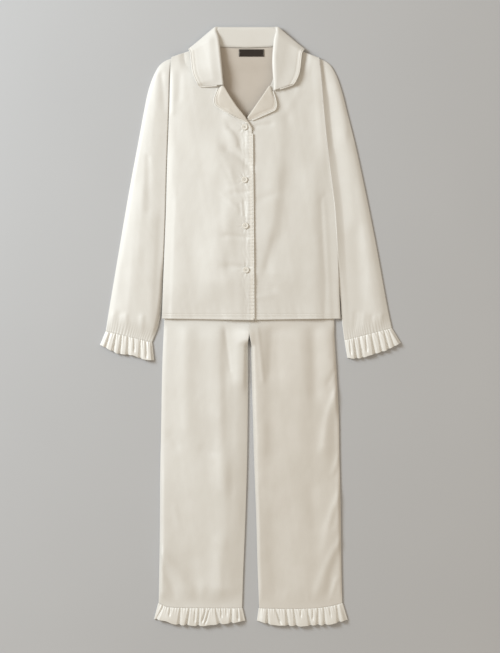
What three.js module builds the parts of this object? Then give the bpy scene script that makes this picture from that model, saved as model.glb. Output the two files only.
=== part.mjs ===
// A satin pyjama set laid out flat and face up: the shirt lies over the top of the trousers.
// Units are millimetres. +Z is up off the surface it lies on, +Y runs from the hems to the collar.
// "right" and "left" in the names are the wearer's, so a right-hand piece has a negative x.

import * as THREE from "three";

// Cloth walls and the space between pieces at their seams.
const CLOTH = 1.2;
const RUFFLE_CLOTH = 1.3;
const COLLAR_CLOTH = 1.5;
const WAIST_CLOTH = 2.0;
const GAP = 0.3;
const REST = 0.45;

// Driving sizes of the shirt.
const SHIRT_AXIS_X = -7;
const SHIRT_HEM_Y = 16;
const SHIRT_AIR = 8.5;
const LEFT_SIDE_FLAT = 25;
const LEFT_SIDE_RISEN = 125;
const RIGHT_SIDE_ROUND = 120;
const SIDE_ROLL = 14;
const SIDE_ROLL_SHARE = 0.13;
const SHOULDER_ROUND = 70;
const NECK_RAISE = 3;
const LAP_RAISE = CLOTH + 1.2;
const SLEEVE_UNDER_LIFT = 5.0;
const TROUSERS_UNDER_LIFT = 6.0;
const COLLAR_UNDER_LIFT = 3.0;
const SUPPORT_EASE = 1.5;

// Driving sizes of the sleeves, the legs and the ruffles.
const TUBE_EDGE = 2.9;
const SLEEVE_TUCKED = 1.3;
const SLEEVE_PUFF = 6;
const SLEEVE_RISE = 50;
const LEG_EDGE = CLOTH + GAP + CLOTH;
const LEG_AIR = 6;
const LEG_PRESSED_AIR = 2.4;
const LEG_ROUND = 26;
const LEG_WIDE_ROUND = 48;
const LEG_TIGHT_ROUND = 16;
const WAIST_BOTTOM_Y = 197;
const WAIST_TOP_Y = 223;
const WAIST_HALF = 134;
const WAIST_TOP_Z = 5.1;
const SEAM_PUFF = 1.8;
const WAVE_VALLEY = 4.6;
const WAVE_CREST = 10;
const UNDER_WAVE = 1.1;

// Driving sizes of the trimmings.
const PIPING_RADIUS = 1.2;
const PIPING_SIDES = 6;
const BUTTON_RADIUS = 6.4;
const BUTTON_THICK = 2.4;
const BUTTON_HOLE = 0.9;
const BUTTON_HOLE_OUT = 1.7;
const LABEL_THICK = 1.0;

const SATIN = { color: 0xeee5d8, roughness: 0.42 };
const CORD = { color: 0xf4ebdf, roughness: 0.45 };
const SHELL = { color: 0xefe8de, roughness: 0.25 };
const LABEL_CLOTH = { color: 0x4a4744, roughness: 0.7 };

// The shirt's side edges: armhole above the underarm, side seam below it.
const SIDES = [
  { y: 16, left: -176, right: 179.5 },
  { y: 73, left: -174, right: 177 },
  { y: 153, left: -171, right: 173 },
  { y: 233, left: -168, right: 168 },
  { y: 313, left: -166, right: 158 },
  { y: 393, left: -163, right: 149 },
  { y: 453, left: -161, right: 143.5 },
  { y: 493, left: -160, right: 141 },
  { y: 521, left: -158.5, right: 138 },
  { y: 539, left: -157, right: 136 },
];

// How far each sleeve reaches in below the shirt's side edge.
const TUCK = [
  { y: 16, reach: 0 },
  { y: 103, reach: 2 },
  { y: 151, reach: 7 },
  { y: 197, reach: 14 },
  { y: 241, reach: 23 },
  { y: 273, reach: 32 },
  { y: 317, reach: 41 },
  { y: 353, reach: 40 },
  { y: 400, reach: 32 },
  { y: 445, reach: 26 },
  { y: 493, reach: 20 },
  { y: 520, reach: 13 },
  { y: 539, reach: 9 },
];

// Shoulder and back neck line, from the right shoulder tip to the left one.
const TOP_LINE = [
  { x: -157, y: 539 },
  { x: -120, y: 550.5 },
  { x: -85, y: 564 },
  { x: -46, y: 559 },
  { x: -7, y: 557 },
  { x: 32, y: 559 },
  { x: 71, y: 564 },
  { x: 104, y: 550.5 },
  { x: 136, y: 538 },
];

// Rows of the right front, which laps over: height on the side edge, and the front edge point.
const RIGHT_FRONT = [
  { at: 0, sideY: 16, edgeX: 7, edgeY: 13 },
  { at: 137, sideY: 153, edgeX: 6, edgeY: 150 },
  { at: 297, sideY: 313, edgeX: 4.5, edgeY: 313 },
  { at: 377, sideY: 393, edgeX: 3.6, edgeY: 390 },
  { at: 404, sideY: 420, edgeX: -8.4, edgeY: 416 },
  { at: 432, sideY: 448, edgeX: -30, edgeY: 445 },
  { at: 466, sideY: 480, edgeX: -57, edgeY: 485 },
  { at: 492, sideY: 500, edgeX: -67, edgeY: 515 },
  { at: 515, sideY: 520, edgeX: -76, edgeY: 538 },
  { at: 538, sideY: 539, edgeX: -85, edgeY: 564 },
];

// Rows of the left front, which lies under the right one.
const LEFT_FRONT = [
  { at: 0, sideY: 16, edgeX: -29, edgeY: 13 },
  { at: 137, sideY: 153, edgeX: -29, edgeY: 150 },
  { at: 297, sideY: 313, edgeX: -29, edgeY: 313 },
  { at: 374, sideY: 390, edgeX: -28, edgeY: 385 },
  { at: 401, sideY: 416, edgeX: -10, edgeY: 412 },
  { at: 432, sideY: 446, edgeX: 14, edgeY: 445 },
  { at: 466, sideY: 478, edgeX: 42, edgeY: 483 },
  { at: 480, sideY: 490, edgeX: 47, edgeY: 497 },
  { at: 497, sideY: 505, edgeX: 53, edgeY: 515 },
  { at: 515, sideY: 519, edgeX: 61, edgeY: 535 },
  { at: 530, sideY: 531, edgeX: 68, edgeY: 553 },
  { at: 538, sideY: 538, edgeX: 71, edgeY: 564 },
];

// Each fold runs from one point to the other; high is above or below the cloth round it.
const SHIRT_FOLDS = [
  { x0: -38, y0: 397, x1: -20, y1: 366, wide: 10, high: -2.4 },
  { x0: -60, y0: 340, x1: -56, y1: 328, wide: 24, high: 3.6 },
  { x0: -66, y0: 290, x1: -42, y1: 240, wide: 14, high: 1.2 },
  { x0: -50, y0: 192, x1: -48, y1: 178, wide: 22, high: 3 },
  { x0: -58, y0: 128, x1: -54, y1: 98, wide: 24, high: 3.2 },
  { x0: -26, y0: 92, x1: -18, y1: 36, wide: 14, high: 1.2 },
  { x0: -146, y0: 330, x1: -148, y1: 30, wide: 19, high: 1 },
  { x0: -110, y0: 280, x1: -104, y1: 70, wide: 20, high: -1 },
  { x0: 78, y0: 444, x1: 58, y1: 190, wide: 16, high: 2.4 },
  { x0: 28, y0: 122, x1: 44, y1: 170, wide: 12, high: -2.4 },
  { x0: 74, y0: 290, x1: 62, y1: 130, wide: 16, high: -2.6 },
  { x0: 108, y0: 288, x1: 124, y1: 18, wide: 22, high: 2.8 },
  { x0: 146, y0: 240, x1: 164, y1: 20, wide: 21, high: -3 },
];

// Sleeve sections from the armhole to the cuff: the outer fold and the inner fold.
const RIGHT_SLEEVE = [
  { at: 0, outX: -149, outY: 538, inX: -128, inY: 353 },
  { at: 1, outX: -166, outY: 532.6, inX: -127, inY: 343 },
  { at: 2, outX: -180, outY: 523, inX: -127, inY: 331 },
  { at: 3, outX: -193, outY: 501, inX: -128, inY: 317 },
  { at: 4, outX: -204, outY: 469, inX: -130, inY: 299 },
  { at: 5, outX: -213, outY: 425, inX: -138, inY: 273 },
  { at: 6, outX: -224, outY: 365, inX: -148, inY: 241 },
  { at: 7, outX: -236, outY: 301, inX: -158, inY: 197 },
  { at: 8, outX: -248, outY: 233, inX: -166, inY: 151 },
  { at: 9, outX: -260, outY: 161, inX: -173, inY: 103 },
  { at: 10, outX: -272, outY: 89, inX: -178, inY: 53 },
  { at: 11, outX: -282, outY: 29, inX: -186, inY: 5 },
  { at: 12, outX: -288, outY: -9, inX: -197, inY: -31 },
];
const LEFT_SLEEVE = [
  { at: 0, outX: 127, outY: 538, inX: 124, inY: 353 },
  { at: 1, outX: 146, outY: 532.6, inX: 124, inY: 343 },
  { at: 2, outX: 160, outY: 523, inX: 125, inY: 331 },
  { at: 3, outX: 173, outY: 501, inX: 126, inY: 317 },
  { at: 4, outX: 184, outY: 469, inX: 128, inY: 299 },
  { at: 5, outX: 195, outY: 425, inX: 132, inY: 273 },
  { at: 6, outX: 210, outY: 365, inX: 140, inY: 241 },
  { at: 7, outX: 224, outY: 301, inX: 152, inY: 197 },
  { at: 8, outX: 238, outY: 233, inX: 164, inY: 151 },
  { at: 9, outX: 252, outY: 161, inX: 175, inY: 103 },
  { at: 10, outX: 265, outY: 89, inX: 184, inY: 53 },
  { at: 11, outX: 276, outY: 29, inX: 187, inY: 9 },
  { at: 12, outX: 283, outY: -3, inX: 190, inY: -27 },
];

const SLEEVE_FOLDS = [
  { x0: -196, y0: 430, x1: -214, y1: 300, wide: 14, high: -1.6 },
  { x0: -214, y0: 250, x1: -226, y1: 90, wide: 14, high: 2 },
  { x0: -196, y0: 190, x1: -205, y1: 20, wide: 12, high: -2 },
  { x0: -252, y0: 112, x1: -258, y1: 40, wide: 12, high: -1.8 },
  { x0: 170, y0: 478, x1: 188, y1: 385, wide: 12, high: 1 },
  { x0: 170, y0: 440, x1: 188, y1: 230, wide: 11, high: -1.8 },
  { x0: 188, y0: 380, x1: 206, y1: 200, wide: 14, high: 1.2 },
  { x0: 210, y0: 200, x1: 226, y1: 40, wide: 16, high: 1.6 },
  { x0: 196, y0: 130, x1: 204, y1: 40, wide: 10, high: -1.6 },
];

// Leg edges: the outer side seam and the inner edge, which is the centre seam above the crotch.
const RIGHT_LEG = [
  { y: -565, side: -183, inner: -16 },
  { y: -500, side: -182, inner: -14 },
  { y: -400, side: -180.5, inner: -10 },
  { y: -310, side: -180, inner: -7 },
  { y: -210, side: -178, inner: -5 },
  { y: -90, side: -176, inner: -4 },
  { y: -34, side: -174, inner: -4 },
  { y: -14, side: -173, inner: -1.9 },
  { y: -4, side: -172.5, inner: -1.65 },
  { y: 40, side: -170, inner: -1.65 },
  { y: 100, side: -162, inner: -1.65 },
  { y: 160, side: -148, inner: -1.65 },
  { y: 197, side: -134, inner: -1.65 },
];
const LEFT_LEG = [
  { y: -565, side: 185, inner: 18.5 },
  { y: -475, side: 183, inner: 15 },
  { y: -379, side: 182, inner: 12.5 },
  { y: -259, side: 179, inner: 8 },
  { y: -187, side: 178, inner: 6 },
  { y: -100, side: 174, inner: 3.6 },
  { y: -34, side: 170, inner: 2 },
  { y: -14, side: 169, inner: -1.1 },
  { y: -4, side: 169, inner: -1.35 },
  { y: 40, side: 167, inner: -1.35 },
  { y: 100, side: 160, inner: -1.35 },
  { y: 160, side: 148, inner: -1.35 },
  { y: 197, side: 134, inner: -1.35 },
];

const LEG_FOLDS = [
  { x0: -126, y0: 14, x1: -128, y1: -200, wide: 15, high: 2 },
  { x0: -64, y0: 12, x1: -62, y1: -170, wide: 17, high: 2.4 },
  { x0: -47, y0: 14, x1: -44, y1: -220, wide: 12, high: -1.4 },
  { x0: 2, y0: 20, x1: -14, y1: -104, wide: 18, high: 4 },
  { x0: -44, y0: -130, x1: -48, y1: -300, wide: 18, high: 2 },
  { x0: -177, y0: 10, x1: -179, y1: -290, wide: 24, high: 1.6 },
  { x0: -108, y0: -190, x1: -104, y1: -430, wide: 24, high: 1.8 },
  { x0: -54, y0: -300, x1: -50, y1: -550, wide: 24, high: 3 },
  { x0: -180, y0: -335, x1: -182, y1: -450, wide: 28, high: 2.6 },
  { x0: -174, y0: -456, x1: -128, y1: -536, wide: 12, high: 2.6 },
  { x0: -58, y0: -440, x1: -60, y1: -552, wide: 13, high: 2 },
  { x0: 10, y0: 20, x1: 18, y1: -230, wide: 24, high: 2.4 },
  { x0: 48, y0: 18, x1: 42, y1: -84, wide: 22, high: -4 },
  { x0: 104, y0: -6, x1: 104, y1: -240, wide: 20, high: 1.8 },
  { x0: 126, y0: 14, x1: 130, y1: -130, wide: 14, high: -2.4 },
  { x0: 157, y0: 16, x1: 161, y1: -90, wide: 16, high: 2.6 },
  { x0: 180, y0: -112, x1: 150, y1: -230, wide: 13, high: 2.6 },
  { x0: 170, y0: -190, x1: 172, y1: -290, wide: 16, high: -2.4 },
  { x0: 186, y0: -320, x1: 154, y1: -440, wide: 14, high: 2.6 },
  { x0: 186, y0: -416, x1: 136, y1: -540, wide: 13, high: 2.4 },
  { x0: 48, y0: -400, x1: 54, y1: -550, wide: 26, high: -3.2 },
  { x0: 112, y0: -470, x1: 108, y1: -554, wide: 16, high: 1.8 },
];

// Hem ruffles, from the side seam to the inseam: the seam's height and the free edge.
const RIGHT_HEM = [
  { at: 0, seamY: -554, edgeX: -191, edgeY: -586 },
  { at: 0.12, seamY: -561.5, edgeX: -170, edgeY: -589 },
  { at: 0.25, seamY: -563, edgeX: -146, edgeY: -596 },
  { at: 0.45, seamY: -563.5, edgeX: -108, edgeY: -598.4 },
  { at: 0.85, seamY: -563.8, edgeX: -40, edgeY: -593 },
  { at: 1, seamY: -563.8, edgeX: -10.6, edgeY: -589 },
];
const LEFT_HEM = [
  { at: 0, seamY: -554, edgeX: 194.4, edgeY: -587 },
  { at: 0.15, seamY: -560, edgeX: 168, edgeY: -594 },
  { at: 0.3, seamY: -563.5, edgeX: 143, edgeY: -597 },
  { at: 0.6, seamY: -565, edgeX: 92, edgeY: -599 },
  { at: 0.85, seamY: -564.5, edgeX: 44, edgeY: -596 },
  { at: 1, seamY: -563.8, edgeX: 15, edgeY: -589 },
];

// Cuff ruffles' free edges, from the outer fold to the inner fold.
const RIGHT_CUFF = [
  { at: 0, edgeX: -299.5, edgeY: -37 },
  { at: 0.33, edgeX: -264, edgeY: -53.5 },
  { at: 0.6, edgeX: -234, edgeY: -58 },
  { at: 0.8, edgeX: -214, edgeY: -65 },
  { at: 1, edgeX: -193, edgeY: -67 },
];
const LEFT_CUFF = [
  { at: 0, edgeX: 301, edgeY: -33 },
  { at: 0.25, edgeX: 279, edgeY: -44.5 },
  { at: 0.5, edgeX: 250, edgeY: -54.5 },
  { at: 0.8, edgeX: 216, edgeY: -63.5 },
  { at: 1, edgeX: 196, edgeY: -62.5 },
];

// Valleys between the ruffles' upper waves, as a share of the way along the seam.
const RIGHT_HEM_WAVES = [0, 0.09, 0.18, 0.27, 0.37, 0.455, 0.54, 0.69, 0.79, 0.87, 0.93, 1];
const LEFT_HEM_WAVES = [0, 0.1, 0.16, 0.21, 0.28, 0.35, 0.435, 0.5, 0.575, 0.66, 0.74, 0.83, 0.92, 1];
const RIGHT_CUFF_WAVES = [0, 0.13, 0.26, 0.37, 0.52, 0.64, 0.76, 0.89, 1];
const LEFT_CUFF_WAVES = [0, 0.12, 0.25, 0.39, 0.5, 0.63, 0.75, 0.88, 1];
const HEM_UNDER_WAVES = 9;
const CUFF_UNDER_WAVES = 6;

// The collar from its notched end to the centre back. half is measured out from the shirt's axis.
// seam, fold and edge are points on the cloth's middle; turn swings the fall from above the stand
// to below it, and on says how far the row rests on the front panel.
const COLLAR = [
  { at: 0, seamHalf: 53, seamY: 485, foldHalf: 47.5, foldY: 485, edgeHalf: 93, edgeY: 480.5,
    seamZ: 9, foldZ: 14, edgeZ: 7, turn: 0, roll: 2.2, on: 1 },
  { at: 1, seamHalf: 55, seamY: 499, foldHalf: 49.4, foldY: 501, edgeHalf: 97.5, edgeY: 488,
    seamZ: 9, foldZ: 14, edgeZ: 7, turn: 0, roll: 2.6, on: 1 },
  { at: 2, seamHalf: 60, seamY: 515, foldHalf: 51.4, foldY: 523, edgeHalf: 105.5, edgeY: 509,
    seamZ: 9, foldZ: 14, edgeZ: 7, turn: 0, roll: 3, on: 1 },
  { at: 3, seamHalf: 68, seamY: 535, foldHalf: 54, foldY: 551, edgeHalf: 108.5, edgeY: 533,
    seamZ: 9, foldZ: 14, edgeZ: 7, turn: 0, roll: 3.2, on: 1 },
  { at: 4, seamHalf: 75, seamY: 553, foldHalf: 56.6, foldY: 577, edgeHalf: 110, edgeY: 548,
    seamZ: 8.4, foldZ: 12.6, edgeZ: 7.2, turn: 20, roll: 3.4, on: 1 },
  { at: 5, seamHalf: 77.5, seamY: 560, foldHalf: 59.3, foldY: 589.5, edgeHalf: 114, edgeY: 556,
    seamZ: 7.9, foldZ: 11, edgeZ: 6.9, turn: 55, roll: 3.5, on: 0 },
  { at: 6, seamHalf: 78, seamY: 564, foldHalf: 59.3, foldY: 597, edgeHalf: 113, edgeY: 557.6,
    seamZ: 7.4, foldZ: 9.4, edgeZ: 4.35, turn: 90, roll: 3.6, on: 0 },
  { at: 7, seamHalf: 76, seamY: 563.4, foldHalf: 56.5, foldY: 598.4, edgeHalf: 110.5, edgeY: 554.6,
    seamZ: 6.5, foldZ: 7.6, edgeZ: 1.9, turn: 125, roll: 3.8, on: 0 },
  { at: 8, seamHalf: 71, seamY: 562.4, foldHalf: 51, foldY: 599, edgeHalf: 104, edgeY: 549,
    seamZ: 6, foldZ: 6.1, edgeZ: 0.85, turn: 158, roll: 4, on: 0 },
  { at: 9, seamHalf: 42, seamY: 559.5, foldHalf: 29, foldY: 599, edgeHalf: 57, edgeY: 546,
    seamZ: 5.4, foldZ: 5.25, edgeZ: 0.75, turn: 180, roll: 4.4, on: 0 },
  { at: 10, seamHalf: 0, seamY: 558, foldHalf: 0, foldY: 599, edgeHalf: 0, edgeY: 545,
    seamZ: 5.3, foldZ: 5.25, edgeZ: 0.75, turn: 180, roll: 4.5, on: 0 },
];
const COLLAR_DROP_LEFT = 8;
const COLLAR_SPREAD_LEFT = 8;
const COLLAR_LIFT_LEFT = 3;
const COLLAR_NARROW_LEFT = 1.5;
const COLLAR_CURL_LEFT = 6;
const COLLAR_CURL_RIGHT = 3;
const COLLAR_CURL_WIDE = 34;
const COLLAR_ROLL_SPREAD = 2.5;
const LAPEL_CURL = 2;
const LAPEL_CURL_WIDE = 26;

// Free edges of the lapels from the gorge down to the break; at is the row of the front panel
// whose edge the lapel rolls up from.
const RIGHT_LAPEL = [
  { at: 380, edgeX: 0.8, edgeY: 396.5 },
  { at: 391, edgeX: -7, edgeY: 408.6 },
  { at: 403, edgeX: -26, edgeY: 417.5 },
  { at: 414, edgeX: -46, edgeY: 428 },
  { at: 426, edgeX: -61, edgeY: 437.5 },
  { at: 438, edgeX: -69.5, edgeY: 444.8 },
  { at: 448, edgeX: -70.5, edgeY: 453 },
  { at: 457, edgeX: -66.5, edgeY: 465 },
  { at: 463, edgeX: -62.5, edgeY: 475.5 },
];
const LEFT_LAPEL = [
  { at: 413, edgeX: 4, edgeY: 413 },
  { at: 416, edgeX: 7.5, edgeY: 414.4 },
  { at: 421, edgeX: 13.5, edgeY: 417 },
  { at: 428, edgeX: 27, edgeY: 423 },
  { at: 435, edgeX: 40, edgeY: 428.8 },
  { at: 443, edgeX: 49.5, edgeY: 434 },
  { at: 451, edgeX: 51.6, edgeY: 443 },
  { at: 458, edgeX: 48.5, edgeY: 458 },
  { at: 463, edgeX: 44.5, edgeY: 470 },
];

const BUTTONS = [
  { x: -11, y: 398.5 },
  { x: -11, y: 293 },
  { x: -9.4, y: 201 },
  { x: -8, y: 113 },
];
const LABEL = { left: -22, right: 28, bottom: 539, top: 554 };

const CORD_STEP = 14;

function clamp(value, low, high) {
  return Math.min(high, Math.max(low, value));
}

function mix(a, b, share) {
  return a + (b - a) * share;
}

function smooth(low, high, value) {
  const share = clamp((value - low) / (high - low), 0, 1);
  return share * share * (3 - 2 * share);
}

function swell(share) {
  return Math.sin((Math.PI / 2) * clamp(share, 0, 1));
}

// Reads a table at a value of its key column; every other column is eased between the rows.
function rowAt(table, key, value) {
  const last = table.length - 1;
  let low = 0;
  while (low < last - 1 && value > table[low + 1][key]) low += 1;
  const a = table[low];
  const b = table[low + 1];
  const span = b[key] - a[key];
  const share = clamp((value - a[key]) / span, 0, 1);
  const row = {};
  for (const column of Object.keys(a)) {
    const rise = (index) =>
      (table[index + 1][column] - table[index][column]) / (table[index + 1][key] - table[index][key]);
    const slope = (index) => {
      if (index === 0 || index === last) return rise(Math.min(index, last - 1));
      const before = rise(index - 1);
      const after = rise(index);
      return before * after <= 0 ? 0 : (2 * before * after) / (before + after);
    };
    const s2 = share * share;
    const s3 = s2 * share;
    row[column] =
      (2 * s3 - 3 * s2 + 1) * a[column] +
      (s3 - 2 * s2 + share) * span * slope(low) +
      (3 * s2 - 2 * s3) * b[column] +
      (s3 - s2) * span * slope(low + 1);
  }
  return row;
}

// Sum of the folds at a point: each is a soft ridge or trough along its own line.
function foldsAt(folds, x, y) {
  let height = 0;
  for (const fold of folds) {
    const dx = fold.x1 - fold.x0;
    const dy = fold.y1 - fold.y0;
    const along = clamp(((x - fold.x0) * dx + (y - fold.y0) * dy) / (dx * dx + dy * dy), 0, 1);
    const away = Math.hypot(x - fold.x0 - along * dx, y - fold.y0 - along * dy) / fold.wide;
    height += fold.high * Math.exp(-away * away);
  }
  return height;
}

function sideDistance(x, y) {
  const row = rowAt(SIDES, "y", y);
  return Math.min(x - row.left, row.right - x);
}

function shoulderY(x) {
  if (x > -85 && x < 71) return 564;
  return rowAt(TOP_LINE, "x", clamp(x, -157, 136)).y;
}

// Underside of the shirt's back panel: it lies over the sleeves, the trousers and the collar.
function shirtSupport(x, y) {
  const inward = sideDistance(x, y);
  const reach = rowAt(TUCK, "y", y).reach;
  const overSleeve = SLEEVE_UNDER_LIFT * (1 - smooth(reach + 3, reach + 29, inward));
  const overTrousers =
    TROUSERS_UNDER_LIFT * smooth(0, 20, inward) * (1 - smooth(WAIST_TOP_Y + 3, WAIST_TOP_Y + 45, y));
  const nearCollar = 1 - smooth(118, 146, Math.abs(x - SHIRT_AXIS_X));
  const overCollar = COLLAR_UNDER_LIFT * smooth(505, 538, y) * nearCollar;
  return Math.max(overSleeve, overTrousers, overCollar);
}

function backTop(x, y) {
  return shirtSupport(x, y) + CLOTH;
}

function softMax(a, b) {
  return (a + b + Math.hypot(a - b, SUPPORT_EASE)) / 2;
}

// The fronts bridge softly over what holds the back up.
function frontSupport(x, y) {
  const inward = sideDistance(x, y);
  const reach = rowAt(TUCK, "y", y).reach;
  const overSleeve = SLEEVE_UNDER_LIFT * (1 - smooth(reach + 3, reach + 85, inward));
  const aboveWaist = smooth(WAIST_TOP_Y + 3, WAIST_TOP_Y + 190, y);
  const overTrousers = TROUSERS_UNDER_LIFT * smooth(0, 20, inward) * (1 - aboveWaist);
  const nearCollar = 1 - smooth(118, 146, Math.abs(x - SHIRT_AXIS_X));
  const overCollar = COLLAR_UNDER_LIFT * smooth(470, 538, y) * nearCollar;
  const soft = softMax(softMax(overSleeve, overTrousers), overCollar);
  return mix(soft, shirtSupport(x, y), smooth(505, 538, y));
}

// Top of the left front, the lower of the two fronts.
function underFrontTop(x, y) {
  const inward = sideDistance(x, y);
  const fromShoulder = shoulderY(x) - y;
  const rightSide = swell(inward / RIGHT_SIDE_ROUND);
  const leftSide = smooth(LEFT_SIDE_FLAT, LEFT_SIDE_RISEN, inward);
  const broad = x < SHIRT_AXIS_X ? rightSide : leftSide;
  const across = mix(broad, swell(inward / SIDE_ROLL), SIDE_ROLL_SHARE);
  const rise = across * swell(fromShoulder / SHOULDER_ROUND);
  const hem = mix(0.55, 1, smooth(0, 80, y - SHIRT_HEM_Y));
  const nearNeck = Math.exp(-(((x - SHIRT_AXIS_X) / 90) ** 2)) * smooth(400, 500, y);
  const neck = NECK_RAISE * nearNeck * swell(fromShoulder / 60);
  const creases = foldsAt(SHIRT_FOLDS, x, y) * swell(inward / 22) * swell(fromShoulder / 60);
  const air = Math.max(0, SHIRT_AIR * rise * hem + neck + creases);
  return frontSupport(x, y) + CLOTH + REST + CLOTH + air;
}

// Top of the right front, raised where it laps over the left one.
function upperFrontTop(x, y) {
  return underFrontTop(x, y) + LAP_RAISE * smooth(-62, -34, x);
}

function frontTop(x, y) {
  return x < SHIRT_AXIS_X ? upperFrontTop(x, y) : underFrontTop(x, y);
}

function seamTop(share) {
  return TUBE_EDGE + SEAM_PUFF * Math.pow(Math.sin(Math.PI * clamp(share, 0, 1)), 0.6);
}

// Builds one closed body from two matching grids of points, with walls along the open edges.
function solidBetween(outer, inner, ring) {
  const rows = outer.length;
  const columns = outer[0].length;
  const points = [];
  for (const grid of [outer, inner]) {
    for (const row of grid) {
      for (const point of row) points.push(point.x, point.y, point.z);
    }
  }
  const at = (side, row, column) => side * rows * columns + row * columns + (column % columns);
  const faces = [];
  const quad = (a, b, c, d) => faces.push(a, b, c, a, c, d);
  const spans = ring ? columns : columns - 1;
  for (let row = 0; row < rows - 1; row += 1) {
    for (let column = 0; column < spans; column += 1) {
      const next = column + 1;
      quad(at(0, row, column), at(0, row, next), at(0, row + 1, next), at(0, row + 1, column));
      quad(at(1, row, column), at(1, row + 1, column), at(1, row + 1, next), at(1, row, next));
    }
    if (!ring) {
      const end = columns - 1;
      quad(at(0, row, 0), at(0, row + 1, 0), at(1, row + 1, 0), at(1, row, 0));
      quad(at(0, row, end), at(1, row, end), at(1, row + 1, end), at(0, row + 1, end));
    }
  }
  for (let column = 0; column < spans; column += 1) {
    const next = column + 1;
    const end = rows - 1;
    quad(at(0, 0, column), at(1, 0, column), at(1, 0, next), at(0, 0, next));
    quad(at(0, end, column), at(0, end, next), at(1, end, next), at(1, end, column));
  }
  return closedBody(points, faces);
}

// Turns the faces outward if the body came out inside out.
function closedBody(points, faces) {
  let volume = 0;
  const corner = (index) => new THREE.Vector3().fromArray(points, 3 * index);
  for (let face = 0; face < faces.length; face += 3) {
    const a = corner(faces[face]);
    volume += a.dot(corner(faces[face + 1]).cross(corner(faces[face + 2])));
  }
  if (volume < 0) {
    for (let face = 0; face < faces.length; face += 3) {
      const swap = faces[face + 1];
      faces[face + 1] = faces[face + 2];
      faces[face + 2] = swap;
    }
  }
  const geometry = new THREE.BufferGeometry();
  geometry.setAttribute("position", new THREE.Float32BufferAttribute(points, 3));
  geometry.setIndex(faces);
  geometry.computeVertexNormals();
  return geometry;
}

// Normals of a grid of points, from its neighbours.
function gridNormals(grid, ring) {
  const rows = grid.length;
  const columns = grid[0].length;
  return grid.map((row, i) =>
    row.map((point, j) => {
      const up = grid[Math.min(i + 1, rows - 1)][j];
      const down = grid[Math.max(i - 1, 0)][j];
      const right = ring ? row[(j + 1) % columns] : row[Math.min(j + 1, columns - 1)];
      const left = ring ? row[(j + columns - 1) % columns] : row[Math.max(j - 1, 0)];
      const along = new THREE.Vector3().subVectors(up, down);
      const across = new THREE.Vector3().subVectors(right, left);
      return across.cross(along).normalize();
    }),
  );
}

// A panel whose top is the given grid; its underside is one wall lower, a little more on slopes.
function panelBelow(grid, wall) {
  const normals = gridNormals(grid, false);
  const under = grid.map((row, i) =>
    row.map((point, j) => {
      const upright = Math.max(Math.abs(normals[i][j].z), 0.7);
      return new THREE.Vector3(point.x, point.y, point.z - wall / upright);
    }),
  );
  return solidBetween(grid, under, false);
}

// A panel centred on the given grid.
function panelAbout(grid, wall) {
  const normals = gridNormals(grid, false);
  const shift = (side) =>
    grid.map((row, i) => row.map((point, j) => point.clone().addScaledVector(normals[i][j], side)));
  return solidBetween(shift(wall / 2), shift(-wall / 2), false);
}

// A flattened tube of cloth. Each section gives its two folded edges and the height of its top
// and of its underside at a share of the way across.
function flatTube(sections, topShares, underShares, wall) {
  const outer = [];
  const inner = [];
  for (const section of sections) {
    const a = section.from;
    const b = section.to;
    const length = Math.hypot(b.x - a.x, b.y - a.y);
    const point = (share, z) => {
      const bow = section.bow ? section.bow(share) : { x: 0, y: 0 };
      return new THREE.Vector3(mix(a.x, b.x, share) + bow.x, mix(a.y, b.y, share) + bow.y, z);
    };
    const inset = (share, depth) => clamp(share, depth / length, 1 - depth / length);
    const steep = (height, share) => {
      const step = 0.6 / length;
      const slope = (height(share + step) - height(share - step)) / 1.2;
      return Math.min(1.45, Math.hypot(1, slope));
    };
    const outerRing = [];
    const innerRing = [];
    const middle = section.top(0) / 2;
    outerRing.push(point(-1 / length, middle));
    innerRing.push(point(0.5 / length, middle));
    for (const share of topShares) {
      const z = section.top(share);
      outerRing.push(point(share, z));
      innerRing.push(point(inset(share, 1.5), z - wall * steep(section.top, share)));
    }
    outerRing.push(point(1 + 1 / length, middle));
    innerRing.push(point(1 - 0.5 / length, middle));
    for (const share of underShares) {
      const z = section.under(share);
      outerRing.push(point(share, z));
      innerRing.push(point(inset(share, 1.5), z + wall));
    }
    outer.push(outerRing);
    inner.push(innerRing);
  }
  return solidBetween(outer, inner, true);
}

// A round cord along a line of points.
function cordAlong(line, radius) {
  const points = [];
  const faces = [];
  const last = line.length - 1;
  line.forEach((centre, index) => {
    const ahead = line[Math.min(index + 1, last)];
    const behind = line[Math.max(index - 1, 0)];
    const run = new THREE.Vector3().subVectors(ahead, behind).normalize();
    const across = new THREE.Vector3().crossVectors(run, new THREE.Vector3(0, 0, 1)).normalize();
    const lift = new THREE.Vector3().crossVectors(across, run).normalize();
    for (let side = 0; side < PIPING_SIDES; side += 1) {
      const angle = (2 * Math.PI * (side + 0.5)) / PIPING_SIDES;
      const corner = centre
        .clone()
        .addScaledVector(across, radius * Math.cos(angle))
        .addScaledVector(lift, radius * Math.sin(angle));
      points.push(corner.x, corner.y, corner.z);
    }
  });
  for (let index = 0; index < last; index += 1) {
    for (let side = 0; side < PIPING_SIDES; side += 1) {
      const next = (side + 1) % PIPING_SIDES;
      const a = index * PIPING_SIDES + side;
      const b = index * PIPING_SIDES + next;
      faces.push(a, b, b + PIPING_SIDES, a, b + PIPING_SIDES, a + PIPING_SIDES);
    }
  }
  const end = last * PIPING_SIDES;
  for (let side = 1; side < PIPING_SIDES - 1; side += 1) {
    faces.push(0, side + 1, side, end, end + side, end + side + 1);
  }
  return closedBody(points, faces);
}

// Even steps along a smooth line through the given points.
function evenLine(points, step) {
  const curve = new THREE.CatmullRomCurve3(points, false, "centripetal");
  const count = Math.max(2, Math.round(curve.getLength() / step));
  return curve.getSpacedPoints(count);
}

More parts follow.
